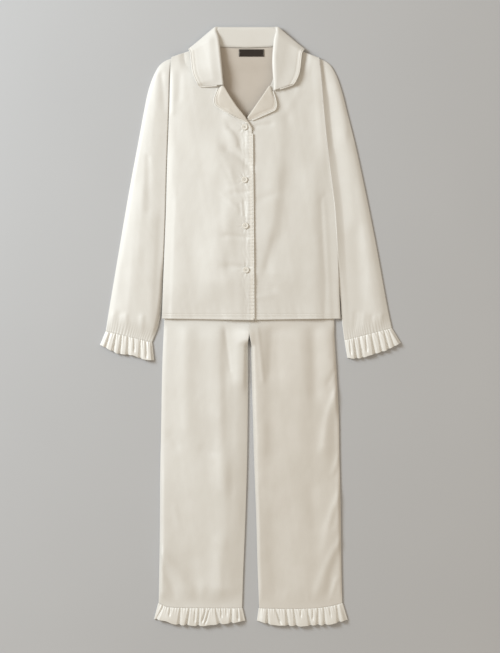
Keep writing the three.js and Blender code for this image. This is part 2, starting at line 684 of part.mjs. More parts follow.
function steps(count, low, high) {
  return Array.from({ length: count + 1 }, (_, index) => mix(low, high, index / count));
}

// Shirt panels.
const FRONT_SHARES = [0, 0.05, 0.12, 0.2, 0.3, 0.4, 0.5, 0.6, 0.7, 0.8, 0.88, 0.94, 1];
const BACK_SHARES = [0, 0.04, 0.1, 0.17, 0.246, 0.33, 0.42, 0.512, 0.6, 0.69, 0.778, 0.84, 0.9, 0.96, 1];

const FRONT_LOW_ROWS = 14;
const RIGHT_FRONT_NECK = [380, 391, 403, 414, 426, 438, 448, 457, 463, 475, 492, 508, 523, 538];
const LEFT_FRONT_NECK = [390, 401, 413, 416, 421, 428, 435, 443, 451, 458, 463, 475, 492, 508, 523, 538];

function frontGrid(table, neck, sideColumn, top) {
  const rows = steps(FRONT_LOW_ROWS, 0, 365).concat(neck);
  return rows.map((at) => {
    const row = rowAt(table, "at", at);
    const sideX = rowAt(SIDES, "y", row.sideY)[sideColumn];
    return FRONT_SHARES.map((share) => {
      const x = mix(sideX, row.edgeX, share);
      const y = mix(row.sideY, row.edgeY, share);
      return new THREE.Vector3(x, y, top(x, y));
    });
  });
}

function backGrid() {
  return steps(16, 0, 1).map((at) =>
    BACK_SHARES.map((share) => {
      const topX = mix(-157, 136, share);
      const y = mix(SHIRT_HEM_Y + 1, rowAt(TOP_LINE, "x", topX).y, at);
      const row = rowAt(SIDES, "y", mix(SHIRT_HEM_Y + 1, 539, at));
      const x = mix(row.left, row.right, share);
      return new THREE.Vector3(x, y, backTop(x, y));
    }),
  );
}

// Sleeves.
const TUBE_TOP_SHARES = [0, 0.06, 0.14, 0.24, 0.35, 0.46, 0.57, 0.68, 0.79, 0.9, 1];
const TUBE_UNDER_SHARES = [1, 0.8, 0.5, 0.2, 0];

function sleeveTop(row, share) {
  const x = mix(row.outX, row.inX, share);
  const y = mix(row.outY, row.inY, share);
  const length = Math.hypot(row.outX - row.inX, row.outY - row.inY);
  const fromOuter = share * length;
  const fromInner = (1 - share) * length;
  const outside = -sideDistance(x, y);
  const tucked = SLEEVE_TUCKED * swell(fromOuter / 12) * swell(fromInner / 12);
  const shape = swell(fromOuter / 26) * swell(fromInner / 26) * smooth(0, SLEEVE_RISE, outside);
  const creases = foldsAt(SLEEVE_FOLDS, x, y) * shape;
  const loose = TUBE_EDGE + tucked + SLEEVE_PUFF * shape + creases;
  return mix(loose, seamTop(share), smooth(11, 12, row.at));
}

function sleeveSections(table) {
  const stops = [0, 1, 2, 3, 4, 5, 5.5, 6, 6.5, 7, 7.5, 8, 8.5, 9, 9.5, 10, 10.5, 11, 11.5, 12];
  return stops.map((at) => {
    const row = rowAt(table, "at", at);
    return {
      from: { x: row.outX, y: row.outY },
      to: { x: row.inX, y: row.inY },
      top: (share) => sleeveTop(row, clamp(share, 0, 1)),
      under: () => 0,
    };
  });
}

// Ruffles: a gathered ring of cloth, pressed flat, with waves that open towards its free edge.
function waveShares(valleys) {
  const shares = [];
  for (let index = 0; index < valleys.length - 1; index += 1) {
    for (const share of [0, 0.2, 0.5, 0.8]) {
      shares.push(mix(valleys[index], valleys[index + 1], share));
    }
  }
  shares.push(1);
  return shares;
}

function waveHeight(valleys, share) {
  let index = 0;
  while (index < valleys.length - 2 && share > valleys[index + 1]) index += 1;
  const local = clamp((share - valleys[index]) / (valleys[index + 1] - valleys[index]), 0, 1);
  const size = 0.82 + 0.18 * Math.sin(2.3 * index + 1);
  return size * Math.pow(Math.sin(Math.PI * local), 0.75);
}

function ruffleSections(table, seamPoint, valleys, underCount) {
  return [0, 0.45, 1].map((down) => {
    const place = (share) => {
      const row = rowAt(table, "at", clamp(share, 0, 1));
      const seam = seamPoint(row, clamp(share, 0, 1));
      return { x: mix(seam.x, row.edgeX, down), y: mix(seam.y, row.edgeY, down) };
    };
    const from = place(0);
    const to = place(1);
    const open = Math.pow(down, 0.8);
    return {
      from,
      to,
      bow: (share) => {
        const bent = place(share);
        const held = clamp(share, 0, 1);
        const scallop = 1.6 * down * down * waveHeight(valleys, held);
        return {
          x: bent.x - mix(from.x, to.x, held),
          y: bent.y - mix(from.y, to.y, held) - scallop + 0.8 * down,
        };
      },
      top: (share) => {
        const held = clamp(share, 0, 1);
        const edge = smooth(0, 0.06, held) * smooth(0, 0.06, 1 - held);
        const valley = mix(TUBE_EDGE, mix(TUBE_EDGE, WAVE_VALLEY, edge), down);
        const base = mix(seamTop(held), valley, open);
        return base + open * (WAVE_CREST - WAVE_VALLEY) * waveHeight(valleys, held);
      },
      under: (share) => UNDER_WAVE * down * Math.abs(Math.sin(Math.PI * underCount * share)),
    };
  });
}

function ruffleBody(table, seamPoint, valleys, underCount) {
  const under = steps(underCount * 4, 1, 0);
  const sections = ruffleSections(table, seamPoint, valleys, underCount);
  return flatTube(sections, waveShares(valleys), under, RUFFLE_CLOTH);
}

function legSeamPoint(leg) {
  return (row, share) => {
    const edge = rowAt(leg, "y", row.seamY);
    return { x: mix(edge.side, edge.inner, share), y: row.seamY - GAP };
  };
}

function cuffSeamPoint(sleeve) {
  const last = sleeve[sleeve.length - 1];
  return (row, share) => ({
    x: mix(last.outX, last.inX, share),
    y: mix(last.outY, last.inY, share) - 1.1 * GAP,
  });
}

// Leg panels.
const LEG_SHARES = [0, 0.05, 0.12, 0.22, 0.33, 0.44, 0.55, 0.66, 0.77, 0.87, 0.95, 1];

function legFrontTop(leg, x, y, share) {
  const edge = rowAt(leg, "y", y);
  const fromSide = Math.abs(x - edge.side);
  const seam = LEG_ROUND * smooth(-40, -4, y);
  const fromInner = y > -4 ? LEG_ROUND : Math.abs(x - edge.inner) + seam;
  const pressed = smooth(10, -60, y);
  const air = mix(LEG_PRESSED_AIR, LEG_AIR, pressed);
  const soft = swell(fromSide / LEG_WIDE_ROUND) * swell(fromInner / LEG_ROUND);
  const crisp = swell(fromSide / LEG_TIGHT_ROUND) * swell(fromInner / LEG_ROUND);
  const shape = leg === RIGHT_LEG ? soft : crisp * mix(0.6, 1, smooth(30, 110, fromSide));
  const creases = foldsAt(LEG_FOLDS, x, y) * shape * smooth(10, -14, y);
  const loose = LEG_EDGE + Math.max(0, air * shape + creases);
  const shown = mix(loose, seamTop(share) - GAP / 2, smooth(-515, -556, y));
  return shown;
}

function legGrid(leg, hem, stops, shares, height) {
  return stops.map((level) => {
    return shares.map((share) => {
      const dip = rowAt(hem, "at", share).seamY + 554;
      const y = level + dip * smooth(-480, -554, level);
      const edge = rowAt(leg, "y", y);
      const x = mix(edge.side, edge.inner, share);
      return new THREE.Vector3(x, y, height(x, y, share));
    });
  });
}

const LEG_FRONT_STOPS = [
  -554, -538, -515, -488, -458, -425, -390, -355, -320, -285, -250, -215, -180, -145, -110, -78,
  -50, -30, -14, -2, 10, 40, 80, 130, WAIST_BOTTOM_Y - GAP,
];
const LEG_BACK_STOPS = [-554, -520, -400, -260, -120, -50, -14, -4, 60, 130, WAIST_BOTTOM_Y - GAP];

function legFront(leg, hem) {
  const height = (x, y, share) => legFrontTop(leg, x, y, share);
  return panelBelow(legGrid(leg, hem, LEG_FRONT_STOPS, LEG_SHARES, height), CLOTH);
}

function legBack(leg, hem) {
  return panelBelow(legGrid(leg, hem, LEG_BACK_STOPS, [0, 0.15, 0.5, 0.85, 1], () => CLOTH), CLOTH);
}

function waistbandBody() {
  const sections = steps(2, WAIST_BOTTOM_Y, WAIST_TOP_Y).map((y) => ({
    from: { x: -WAIST_HALF, y },
    to: { x: WAIST_HALF - 3, y },
    top: (share) => mix(WAIST_TOP_Z - 0.4, WAIST_TOP_Z, swell(Math.min(share, 1 - share) * 10)),
    under: () => 0,
  }));
  const shares = [0, 0.05, 0.2, 0.35, 0.5, 0.65, 0.8, 0.95, 1];
  return flatTube(sections, shares, [1, 0.75, 0.5, 0.25, 0], WAIST_CLOTH);
}

// Collar.
const COLLAR_STOPS = [0, 0.3, 0.65, 1, 1.5, 2, 3, 4, 5, 6, 7, 8, 9, 10];

function collarRow(at, hand) {
  const row = rowAt(COLLAR, "at", at);
  const drop = hand > 0 ? COLLAR_DROP_LEFT * (1 - smooth(0, 4, at)) : 0;
  const lift = hand > 0 ? COLLAR_LIFT_LEFT * (1 - smooth(0, 1.5, at)) : 0;
  const spread = hand > 0 ? COLLAR_SPREAD_LEFT * (1 - smooth(0, 3, at)) : 0;
  const narrow = hand > 0 ? COLLAR_NARROW_LEFT * (1 - smooth(3, 5, at)) : 0;
  const place = (half, y) => new THREE.Vector3(SHIRT_AXIS_X + hand * half, y, 0);
  const seam = place(row.seamHalf + spread, row.seamY - drop);
  const fold = place(row.foldHalf + spread, row.foldY - drop);
  const edge = place(row.edgeHalf - narrow, row.edgeY + lift);
  const on = clamp(row.on, 0, 1);
  const clear = REST + COLLAR_CLOTH / 2;
  const resting = (point) => frontTop(point.x, point.y) + clear;
  seam.z = mix(row.seamZ, resting(seam), on);
  edge.z = mix(row.edgeZ, resting(edge), on);
  const towards = new THREE.Vector3(fold.x - edge.x, fold.y - edge.y, 0).normalize();
  const outward = new THREE.Vector3(towards.y * hand, -towards.x * hand, 0);
  const turn = (row.turn * Math.PI) / 180;
  const swing = outward.multiplyScalar(Math.sin(turn)).add(new THREE.Vector3(0, 0, Math.cos(turn)));
  const room = Math.max(row.roll, row.seamHalf - row.foldHalf - COLLAR_CLOTH);
  const wideRoll = mix(row.roll, Math.min(row.roll * COLLAR_ROLL_SPREAD, room), on);
  const centre = fold.clone().addScaledVector(towards, -wideRoll);
  centre.z = mix(row.foldZ, seam.z + 0.6 + row.roll, on);
  const rollPoint = (angle) =>
    centre
      .clone()
      .addScaledVector(swing, -row.roll * Math.cos(angle))
      .addScaledVector(towards, wideRoll * Math.sin(angle));
  const start = rollPoint(0);
  const finish = rollPoint(Math.PI);
  const points = [seam, seam.clone().lerp(start, 0.5)];
  for (const quarter of [0, 1, 2, 3, 4]) points.push(rollPoint((quarter * Math.PI) / 4));
  const curl = (hand > 0 ? COLLAR_CURL_LEFT : COLLAR_CURL_RIGHT) * on;
  const size = finish.distanceTo(edge);
  for (const share of [0.28, 0.55, 0.8, 1]) {
    const point = finish.clone().lerp(edge, share);
    if (on > 0.5) point.z = Math.max(point.z, resting(point));
    point.z += curl * (1 - swell((size * (1 - share)) / COLLAR_CURL_WIDE));
    points.push(point);
  }
  return points;
}

function collarGrid() {
  const right = COLLAR_STOPS.map((at) => collarRow(at, -1));
  const left = COLLAR_STOPS.slice(0, -1).map((at) => collarRow(at, 1));
  return right.concat(left.reverse());
}

// Cord lies just off the free edge of a piece. rim is a line of points on that edge, inside holds
// a point further in for each of them, and floor gives the height of what lies below the cord.
function besideEdge(rim, inside, floor) {
  const last = rim.length - 1;
  return rim.map((point, index) => {
    const ahead = rim[Math.min(index + 1, last)];
    const behind = rim[Math.max(index - 1, 0)];
    const before = new THREE.Vector3().subVectors(point, behind).normalize();
    const after = new THREE.Vector3().subVectors(ahead, point).normalize();
    const run = before.clone().add(after).normalize();
    const square = index > 0 && index < last ? Math.max(0.7, run.dot(after)) : 0.75;
    const out = new THREE.Vector3().subVectors(point, inside[index]);
    out.addScaledVector(run, -out.dot(run)).normalize();
    const centre = point.clone().addScaledVector(out, (GAP + 0.1 + PIPING_RADIUS) / square);
    centre.z = Math.max(centre.z, floor(centre.x, centre.y, index) + PIPING_RADIUS + REST);
    return centre;
  });
}

function collarPiping() {
  const rows = collarGrid();
  const last = rows.length - 1;
  const end = rows[0].length - 1;
  const leafEnd = [end - 3, end - 2, end - 1];
  const stops = COLLAR_STOPS.concat(COLLAR_STOPS.slice(0, -1).reverse());
  const held = stops.map((at) => clamp(rowAt(COLLAR, "at", at).on, 0, 1));
  const line = leafEnd
    .map((column) => rows[0][column])
    .concat(rows.map((row) => row[end]))
    .concat(leafEnd.map((column) => rows[last][column]).reverse());
  const inside = leafEnd
    .map((column) => rows[2][column])
    .concat(rows.map((row, index) => rows[clamp(index, 1, last - 1)][end - 1]))
    .concat(leafEnd.map((column) => rows[last - 2][column]).reverse());
  const on = [1, 1, 1].concat(held, [1, 1, 1]);
  const floor = (x, y, index) => mix(-REST, frontTop(x, y), on[index]);
  return cordAlong(besideEdge(line, inside, floor), PIPING_RADIUS);
}

// Lapels: each rolls up from its front panel's edge and lies back over the panel.
const LAPEL_ROLL = 1.7;

function lapelRow(lapel, front, top, hand, at) {
  const row = rowAt(lapel, "at", at);
  const base = rowAt(front, "at", at);
  const ahead = rowAt(front, "at", at + 4);
  const behind = rowAt(front, "at", at - 4);
  const roll = new THREE.Vector3(base.edgeX, base.edgeY, 0);
  const edge = new THREE.Vector3(row.edgeX, row.edgeY, 0);
  const run = new THREE.Vector3(ahead.edgeX - behind.edgeX, ahead.edgeY - behind.edgeY, 0).normalize();
  const inward = new THREE.Vector3(run.y, -run.x, 0);
  if (inward.x * hand > 0) inward.negate();
  const centre = roll.clone().addScaledVector(inward, GAP + 0.3);
  const reach = Math.hypot(roll.x - edge.x, roll.y - edge.y);
  const size = Math.min(LAPEL_ROLL, 0.45 + reach / 6);
  centre.z = top(base.edgeX, base.edgeY) - CLOTH / 2 + size;
  const points = [];
  for (const quarter of [0, 1, 2, 3, 4]) {
    const angle = (quarter * Math.PI) / 4;
    points.push(
      centre
        .clone()
        .addScaledVector(inward, size * Math.sin(angle))
        .add(new THREE.Vector3(0, 0, -size * Math.cos(angle))),
    );
  }
  const finish = points[points.length - 1];
  edge.z = top(edge.x, edge.y) + REST + CLOTH / 2;
  const curl = LAPEL_CURL * smooth(8, 24, reach);
  for (const share of [0.25, 0.5, 0.75, 1]) {
    const point = finish.clone().lerp(edge, share);
    point.z = Math.max(point.z, top(point.x, point.y) + REST + CLOTH / 2);
    point.z += curl * (1 - swell((reach * (1 - share)) / LAPEL_CURL_WIDE));
    points.push(point);
  }
  return points;
}

function lapelGrid(lapel, front, top, hand) {
  return lapel.map((row) => lapelRow(lapel, front, top, hand, row.at));
}

function lapelPiping(lapel, front, top, hand) {
  const rows = lapelGrid(lapel, front, top, hand).slice(1);
  const rim = rows.map((row) => row[row.length - 1]);
  const middle = rows[3][4];
  const inside = rim.map((point) => new THREE.Vector3(middle.x, middle.y, point.z));
  return cordAlong(besideEdge(rim, inside, top), PIPING_RADIUS);
}

function frontPiping() {
  const points = steps(14, 2, 372).map((at) => {
    const row = rowAt(RIGHT_FRONT, "at", at);
    const z = upperFrontTop(row.edgeX, row.edgeY) - CLOTH / 2 + 0.35;
    return new THREE.Vector3(row.edgeX + GAP + PIPING_RADIUS, row.edgeY, z);
  });
  return cordAlong(evenLine(points, CORD_STEP), PIPING_RADIUS);
}

// Buttons: a flat disc with four sewing holes.
function buttonBody(spot) {
  const disc = new THREE.Shape();
  disc.absarc(0, 0, BUTTON_RADIUS, 0, 2 * Math.PI, false);
  for (const turn of [0.25, 0.75, 1.25, 1.75]) {
    const hole = new THREE.Path();
    const x = BUTTON_HOLE_OUT * Math.cos(turn * Math.PI);
    const y = BUTTON_HOLE_OUT * Math.sin(turn * Math.PI);
    hole.absarc(x, y, BUTTON_HOLE, 0, 2 * Math.PI, true);
    disc.holes.push(hole);
  }
  const body = new THREE.ExtrudeGeometry(disc, {
    depth: BUTTON_THICK,
    bevelEnabled: false,
    curveSegments: 8,
  });
  let highest = 0;
  for (const out of [0, 0.5, 1]) {
    for (const turn of steps(12, 0, 2 * Math.PI)) {
      const x = spot.x + out * BUTTON_RADIUS * Math.cos(turn);
      const y = spot.y + out * BUTTON_RADIUS * Math.sin(turn);
      highest = Math.max(highest, upperFrontTop(x, y));
    }
  }
  body.translate(spot.x, spot.y, highest + GAP);
  return body;
}

function labelBody() {
  const grid = steps(2, LABEL.bottom, LABEL.top).map((y) =>
    steps(5, LABEL.left, LABEL.right).map(
      (x) => new THREE.Vector3(x, y, backTop(x, y) + GAP + LABEL_THICK),
    ),
  );
  return panelBelow(grid, LABEL_THICK);
}

const set = new THREE.Group();
set.name = "pyjama_set";

function add(name, geometry, finish) {
  const material = new THREE.MeshStandardMaterial({ color: finish.color, roughness: finish.roughness });
  material.name = name;
  const mesh = new THREE.Mesh(geometry, material);
  mesh.name = name;
  set.add(mesh);
}

add("shirt_back", panelBelow(backGrid(), CLOTH), SATIN);
const rightFront = frontGrid(RIGHT_FRONT, RIGHT_FRONT_NECK, "left", upperFrontTop);
const leftFront = frontGrid(LEFT_FRONT, LEFT_FRONT_NECK, "right", underFrontTop);
add("shirt_front_right", panelBelow(rightFront, CLOTH), SATIN);
add("shirt_front_left", panelBelow(leftFront, CLOTH), SATIN);
add(
  "sleeve_right",
  flatTube(sleeveSections(RIGHT_SLEEVE), TUBE_TOP_SHARES, TUBE_UNDER_SHARES, CLOTH),
  SATIN,
);
add(
  "sleeve_left",
  flatTube(sleeveSections(LEFT_SLEEVE), TUBE_TOP_SHARES, TUBE_UNDER_SHARES, CLOTH),
  SATIN,
);
add(
  "cuff_ruffle_right",
  ruffleBody(RIGHT_CUFF, cuffSeamPoint(RIGHT_SLEEVE), RIGHT_CUFF_WAVES, CUFF_UNDER_WAVES),
  SATIN,
);
add(
  "cuff_ruffle_left",
  ruffleBody(LEFT_CUFF, cuffSeamPoint(LEFT_SLEEVE), LEFT_CUFF_WAVES, CUFF_UNDER_WAVES),
  SATIN,
);
add("collar", panelAbout(collarGrid(), COLLAR_CLOTH), SATIN);
add("lapel_right", panelAbout(lapelGrid(RIGHT_LAPEL, RIGHT_FRONT, upperFrontTop, -1), CLOTH), SATIN);
add("lapel_left", panelAbout(lapelGrid(LEFT_LAPEL, LEFT_FRONT, underFrontTop, 1), CLOTH), SATIN);
add("piping_collar", collarPiping(), CORD);
add("piping_lapel_right", lapelPiping(RIGHT_LAPEL, RIGHT_FRONT, upperFrontTop, -1), CORD);
add("piping_lapel_left", lapelPiping(LEFT_LAPEL, LEFT_FRONT, underFrontTop, 1), CORD);
add("piping_front", frontPiping(), CORD);
BUTTONS.forEach((spot, index) => add(`button_${index + 1}`, buttonBody(spot), SHELL));
add("neck_label", labelBody(), LABEL_CLOTH);
add("waistband", waistbandBody(), SATIN);
add("leg_front_right", legFront(RIGHT_LEG, RIGHT_HEM), SATIN);
add("leg_front_left", legFront(LEFT_LEG, LEFT_HEM), SATIN);
add("leg_back_right", legBack(RIGHT_LEG, RIGHT_HEM), SATIN);
add("leg_back_left", legBack(LEFT_LEG, LEFT_HEM), SATIN);
add(
  "hem_ruffle_right",
  ruffleBody(RIGHT_HEM, legSeamPoint(RIGHT_LEG), RIGHT_HEM_WAVES, HEM_UNDER_WAVES),
  SATIN,
);
add(
  "hem_ruffle_left",
  ruffleBody(LEFT_HEM, legSeamPoint(LEFT_LEG), LEFT_HEM_WAVES, HEM_UNDER_WAVES),
  SATIN,
);

export default set;
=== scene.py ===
# A satin pyjama set laid out flat and face up: the shirt lies over the top of the trousers.
# Shapes are worked out in millimetres in the part's own frame and turned into metres for the meshes.
# "right" and "left" in the names are the wearer's, so a right-hand piece has a negative x.

import math

import bpy
import numpy as np
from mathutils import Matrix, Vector


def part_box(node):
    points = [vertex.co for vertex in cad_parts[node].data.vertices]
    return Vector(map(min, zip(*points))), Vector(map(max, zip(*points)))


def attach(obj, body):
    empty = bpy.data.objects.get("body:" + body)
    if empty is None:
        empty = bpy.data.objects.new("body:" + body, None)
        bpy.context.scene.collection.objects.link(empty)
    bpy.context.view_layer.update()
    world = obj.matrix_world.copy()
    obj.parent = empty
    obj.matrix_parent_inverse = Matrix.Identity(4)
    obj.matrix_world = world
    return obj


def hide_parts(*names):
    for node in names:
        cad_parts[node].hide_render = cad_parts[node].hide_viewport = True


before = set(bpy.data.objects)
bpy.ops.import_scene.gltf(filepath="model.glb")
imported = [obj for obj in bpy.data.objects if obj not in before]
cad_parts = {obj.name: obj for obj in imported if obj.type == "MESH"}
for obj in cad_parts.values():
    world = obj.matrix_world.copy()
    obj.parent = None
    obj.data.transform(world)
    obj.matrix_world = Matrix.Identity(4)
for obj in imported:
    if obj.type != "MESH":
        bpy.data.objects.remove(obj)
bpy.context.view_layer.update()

MM = 0.001


def table(columns, rows):
    values = np.array(rows, float)
    return {name: values[:, index] for index, name in enumerate(columns.split())}


# Cloth walls and the space between pieces.
WALL = 0.85
COLLAR_WALL = 1.1
CLOTH = 1.2
COLLAR_CLOTH = 1.5
GAP = 0.3
REST = 0.45

# Driving sizes of the shirt.
SHIRT_AXIS_X = -7
SHIRT_HEM_Y = 16
SHIRT_AIR = 8.5
RIGHT_SIDE_ROUND = 120
LEFT_SIDE_FLAT = 25
LEFT_SIDE_RISEN = 125
SHOULDER_ROUND = 70
NECK_RAISE = 3
LAP_RAISE = CLOTH + 1.2
SLEEVE_UNDER_LIFT = 5.0
TROUSERS_UNDER_LIFT = 6.0
COLLAR_UNDER_LIFT = 3.0
SUPPORT_EASE = 1.5
SIDE_ROLL = 14
SIDE_ROLL_SHARE = 0.13

# Driving sizes of the sleeves, the legs and the ruffles.
TUBE_EDGE = 2.9
SLEEVE_TUCKED = 1.3
SLEEVE_SEAM_Z = TUBE_EDGE + SLEEVE_TUCKED
SLEEVE_PUFF = 6
LEFT_SLEEVE_PUFF = 4
ARMHOLE_FALL = 6.4
LEG_EDGE = CLOTH + GAP + CLOTH
LEG_AIR = 6
LEG_PRESSED_AIR = 2.4
LEG_ROUND = 26
LEG_WIDE_ROUND = 60
LEG_TIGHT_ROUND = 6
HEM_AIR = 0.66
WAIST_BOTTOM_Y = 197
WAIST_TOP_Y = 223
WAIST_HALF = 134
WAIST_TOP_Z = 5.1
SEAM_PUFF = 1.8
WAVE_VALLEY = 3.6
WAVE_CREST = 10
UNDER_WAVE = 1.1
HEM_UNDER_WAVES = 9
CUFF_UNDER_WAVES = 6

# Driving sizes of the trimmings.
PIPING_RADIUS = 1.2
BUTTON_RADIUS = 6.4
BUTTON_THICK = 2.4
BUTTON_HOLE = 0.9
BUTTON_HOLE_OUT = 1.7
LABEL_THICK = 1.0
LAPEL_ROLL = 1.7
LAPEL_ROLL_OUT = 0.8
COLLAR_DROP_LEFT = 11
COLLAR_SPREAD_LEFT = 8
COLLAR_LIFT_LEFT = 3
COLLAR_NARROW_LEFT = 1.5
COLLAR_CURL_LEFT = 7
COLLAR_CURL_RIGHT = 5
COLLAR_HUMP_RIGHT = 2.4
ROLL_SPREAD = 2.5
LAPEL_CURL = 2

# The shirt's side edges: armhole above the underarm, side seam below it.
SIDES = table("y left right", [
    (16, -176, 179.5),
    (73, -174, 177),
    (153, -171, 173),
    (233, -168, 168),
    (313, -166, 158),
    (393, -163, 149),
    (453, -161, 143.5),
    (493, -160, 141),
    (521, -158.5, 138),
    (539, -157, 136),
])

# How far each sleeve reaches in below the shirt's side edge.
TUCK = table("y reach", [
    (16, 0), (103, 2), (151, 7), (197, 14), (241, 23), (273, 32), (317, 41),
    (353, 40), (400, 32), (445, 26), (493, 20), (520, 13), (539, 9),
])

# Shoulder and back neck line, from the right shoulder tip to the left one.
TOP_LINE = table("x y", [
    (-157, 539), (-120, 550.5), (-85, 564), (-46, 559), (-7, 557),
    (32, 559), (71, 564), (104, 550.5), (136, 538),
])

# Rows of the two fronts: height on the side edge, and the front edge point.
RIGHT_FRONT = table("at sideY edgeX edgeY", [
    (0, 16, 7, 13),
    (137, 153, 6, 150),
    (297, 313, 4.5, 313),
    (377, 393, 3.6, 390),
    (404, 420, -10.2, 414),
    (432, 448, -32.6, 443),
    (466, 480, -57, 485),
    (492, 500, -67, 515),
    (515, 520, -76, 538),
    (538, 539, -85, 564),
])
LEFT_FRONT = table("at sideY edgeX edgeY", [
    (0, 16, -29, 13),
    (137, 153, -29, 150),
    (297, 313, -29, 313),
    (374, 390, -28, 385),
    (401, 416, -8.6, 410),
    (432, 446, 16.4, 443.5),
    (466, 478, 42, 483),
    (480, 490, 47, 497),
    (497, 505, 53, 515),
    (515, 519, 61, 535),
    (530, 531, 68, 553),
    (538, 538, 71, 564),
])

# Folds: each runs from one point to the other with a sideways bow; wide0 and wide1 are its
# half-widths at the two ends, high is above or below the cloth round it, and lean makes the side
# on its left hand, looking along it, gentler than the other.
FOLD = "x0 y0 x1 y1 bow wide0 wide1 high lean"
SHIRT_FOLDS = table(FOLD, [
    (-38, 397, -20, 362, 5, 11, 8, -3.0, 0.35),
    (-30, 386, -22, 362, 0, 26, 20, 1.6, -0.4),
    (-60, 340, -56, 328, 0, 25, 24, 4.8, -0.3),
    (-44, 353, -4, 320, 4, 9, 7, -2.4, 0),
    (-52, 322, -35, 284, 0, 7, 6, -0.8, 0.2),
    (-38, 306, -28, 268, 0, 6, 5, 0.9, 0),
    (-32, 266, -8, 268, 0, 6, 5, -1.2, 0),
    (-54, 262, -26, 236, 0, 6, 5, 0.7, 0),
    (-50, 192, -48, 178, 0, 24, 22, 3.6, -0.3),
    (-12, 247, -10, 224, 0, 3.5, 3, -1.1, 0),
    (-21, 242, -19, 226, 0, 3.5, 3, -0.7, 0),
    (-50, 176, -44, 122, 2, 14, 12, -1.5, 0),
    (-42, 120, -6, 118, 0, 7, 6, -1.7, 0),
    (-58, 128, -54, 98, 0, 26, 24, 4.0, -0.3),
    (-26, 92, -18, 36, 0, 14, 12, 1.1, 0),
    (-146, 330, -148, 30, 0, 20, 18, 0.9, 0),
    (-112, 180, -104, 40, 0, 16, 18, -0.8, 0),
    (-158, 506, -157, 430, 0, 6, 5, 1.5, 0.2),
    (-169, 500, -168, 440, 0, 6, 5, -1.2, 0),
    (-140, 500, -142, 455, 0, 7, 6, -0.6, 0),
    (62, 440, 40, 190, 5, 20, 18, 1.5, -0.3),
    (26, 256, 48, 264, 0, 8, 8, -1.0, 0),
    (34, 118, 47, 168, 0, 12, 12, -2.4, -0.3),
    (12, 106, 44, 104, 0, 7, 8, 0.9, 0),
    (16, 88, 42, 76, 0, 6, 8, -1.3, 0),
    (14, 58, 40, 62, 0, 6, 7, 0.7, 0),
    (74, 290, 62, 130, -2, 18, 20, -1.7, 0.3),
    (124, 300, 132, 16, 3, 20, 24, 2.6, -0.2),
    (150, 240, 166, 20, 0, 18, 22, -3.0, 0.2),
    (60, 460, 72, 420, 0, 9, 10, -1.3, 0),
    (160, 226, 166, 60, 0, 8, 8, 0.9, 0),
    (72, 430, 96, 470, 0, 8, 8, 0.7, 0),
    (40, 404, 12, 400, 0, 5, 4, -1.0, 0),
    (-46, 181, -8, 178, 0, 6, 5, -1.5, 0),
])

# Sleeve sections from the armhole to the cuff: the outer fold and the inner fold.
RIGHT_SLEEVE = table("at outX outY inX inY", [
    (0, -149, 538, -128, 353),
    (1, -166, 532.6, -127, 343),
    (2, -180, 523, -127, 331),
    (3, -193, 501, -128, 317),
    (4, -204, 469, -130, 299),
    (5, -213, 425, -138, 273),
    (6, -224, 365, -148, 241),
    (7, -236, 301, -158, 197),
    (8, -248, 233, -166, 151),
    (9, -260, 161, -173, 103),
    (10, -272, 89, -176.6, 53),
    (11, -282, 29, -184, 5),
    (12, -288, -9, -197, -31),
])
LEFT_SLEEVE = table("at outX outY inX inY", [
    (0, 127, 538, 124, 353),
    (1, 146, 532.6, 124, 343),
    (2, 160, 523, 125, 331),
    (3, 173, 501, 126, 317),
    (4, 184, 469, 128, 299),
    (5, 195, 425, 132, 273),
    (6, 210, 365, 140, 241),
    (7, 224, 301, 152, 197),
    (8, 238, 233, 164, 151),
    (9, 252, 161, 175, 103),
    (10, 265, 89, 181.8, 53),
    (11, 276, 29, 185.4, 9),
    (12, 283, -3, 190, -27),
])

SLEEVE_FOLDS = table(FOLD, [
    (-196, 430, -214, 300, 0, 14, 14, -1.2, 0),
    (-204, 336, -203, 236, 0, 6, 8, -1.0, 0),
    (-214, 250, -226, 90, 0, 14, 14, 0.5, 0),
    (-194, 210, -200, 20, 0, 13, 12, 1.4, 0),
    (-252, 112, -256, 56, 0, 12, 12, -0.7, 0),
    (-262, 22, -264, -16, 0, 6, 4, -1.2, 0),
    (-216, 16, -218, -26, 0, 6, 4, 1.3, 0),
    (-248, 20, -248, -20, 0, 5, 4, 1.0, 0),
    (-276, 20, -278, -12, 0, 5, 4, 0.9, 0),
    (-176, 500, -168, 440, 0, 7, 7, -1.4, 0),
    (170, 480, 188, 380, 2, 11, 12, 0.8, -0.2),
    (188, 380, 206, 200, 2, 12, 14, 1.0, -0.2),
    (214, 190, 228, 10, 0, 14, 18, -2.0, 0),
    (212, 24, 208, -26, 0, 5, 4, -1.0, 0),
    (228, 20, 226, -24, 0, 6, 4, 1.0, 0),
    (244, 18, 243, -18, 0, 5, 4, -1.2, 0),
    (262, 20, 262, -12, 0, 5, 4, 1.0, 0),
    (200, 470, 204, 380, 0, 8, 8, -1.0, 0),
])

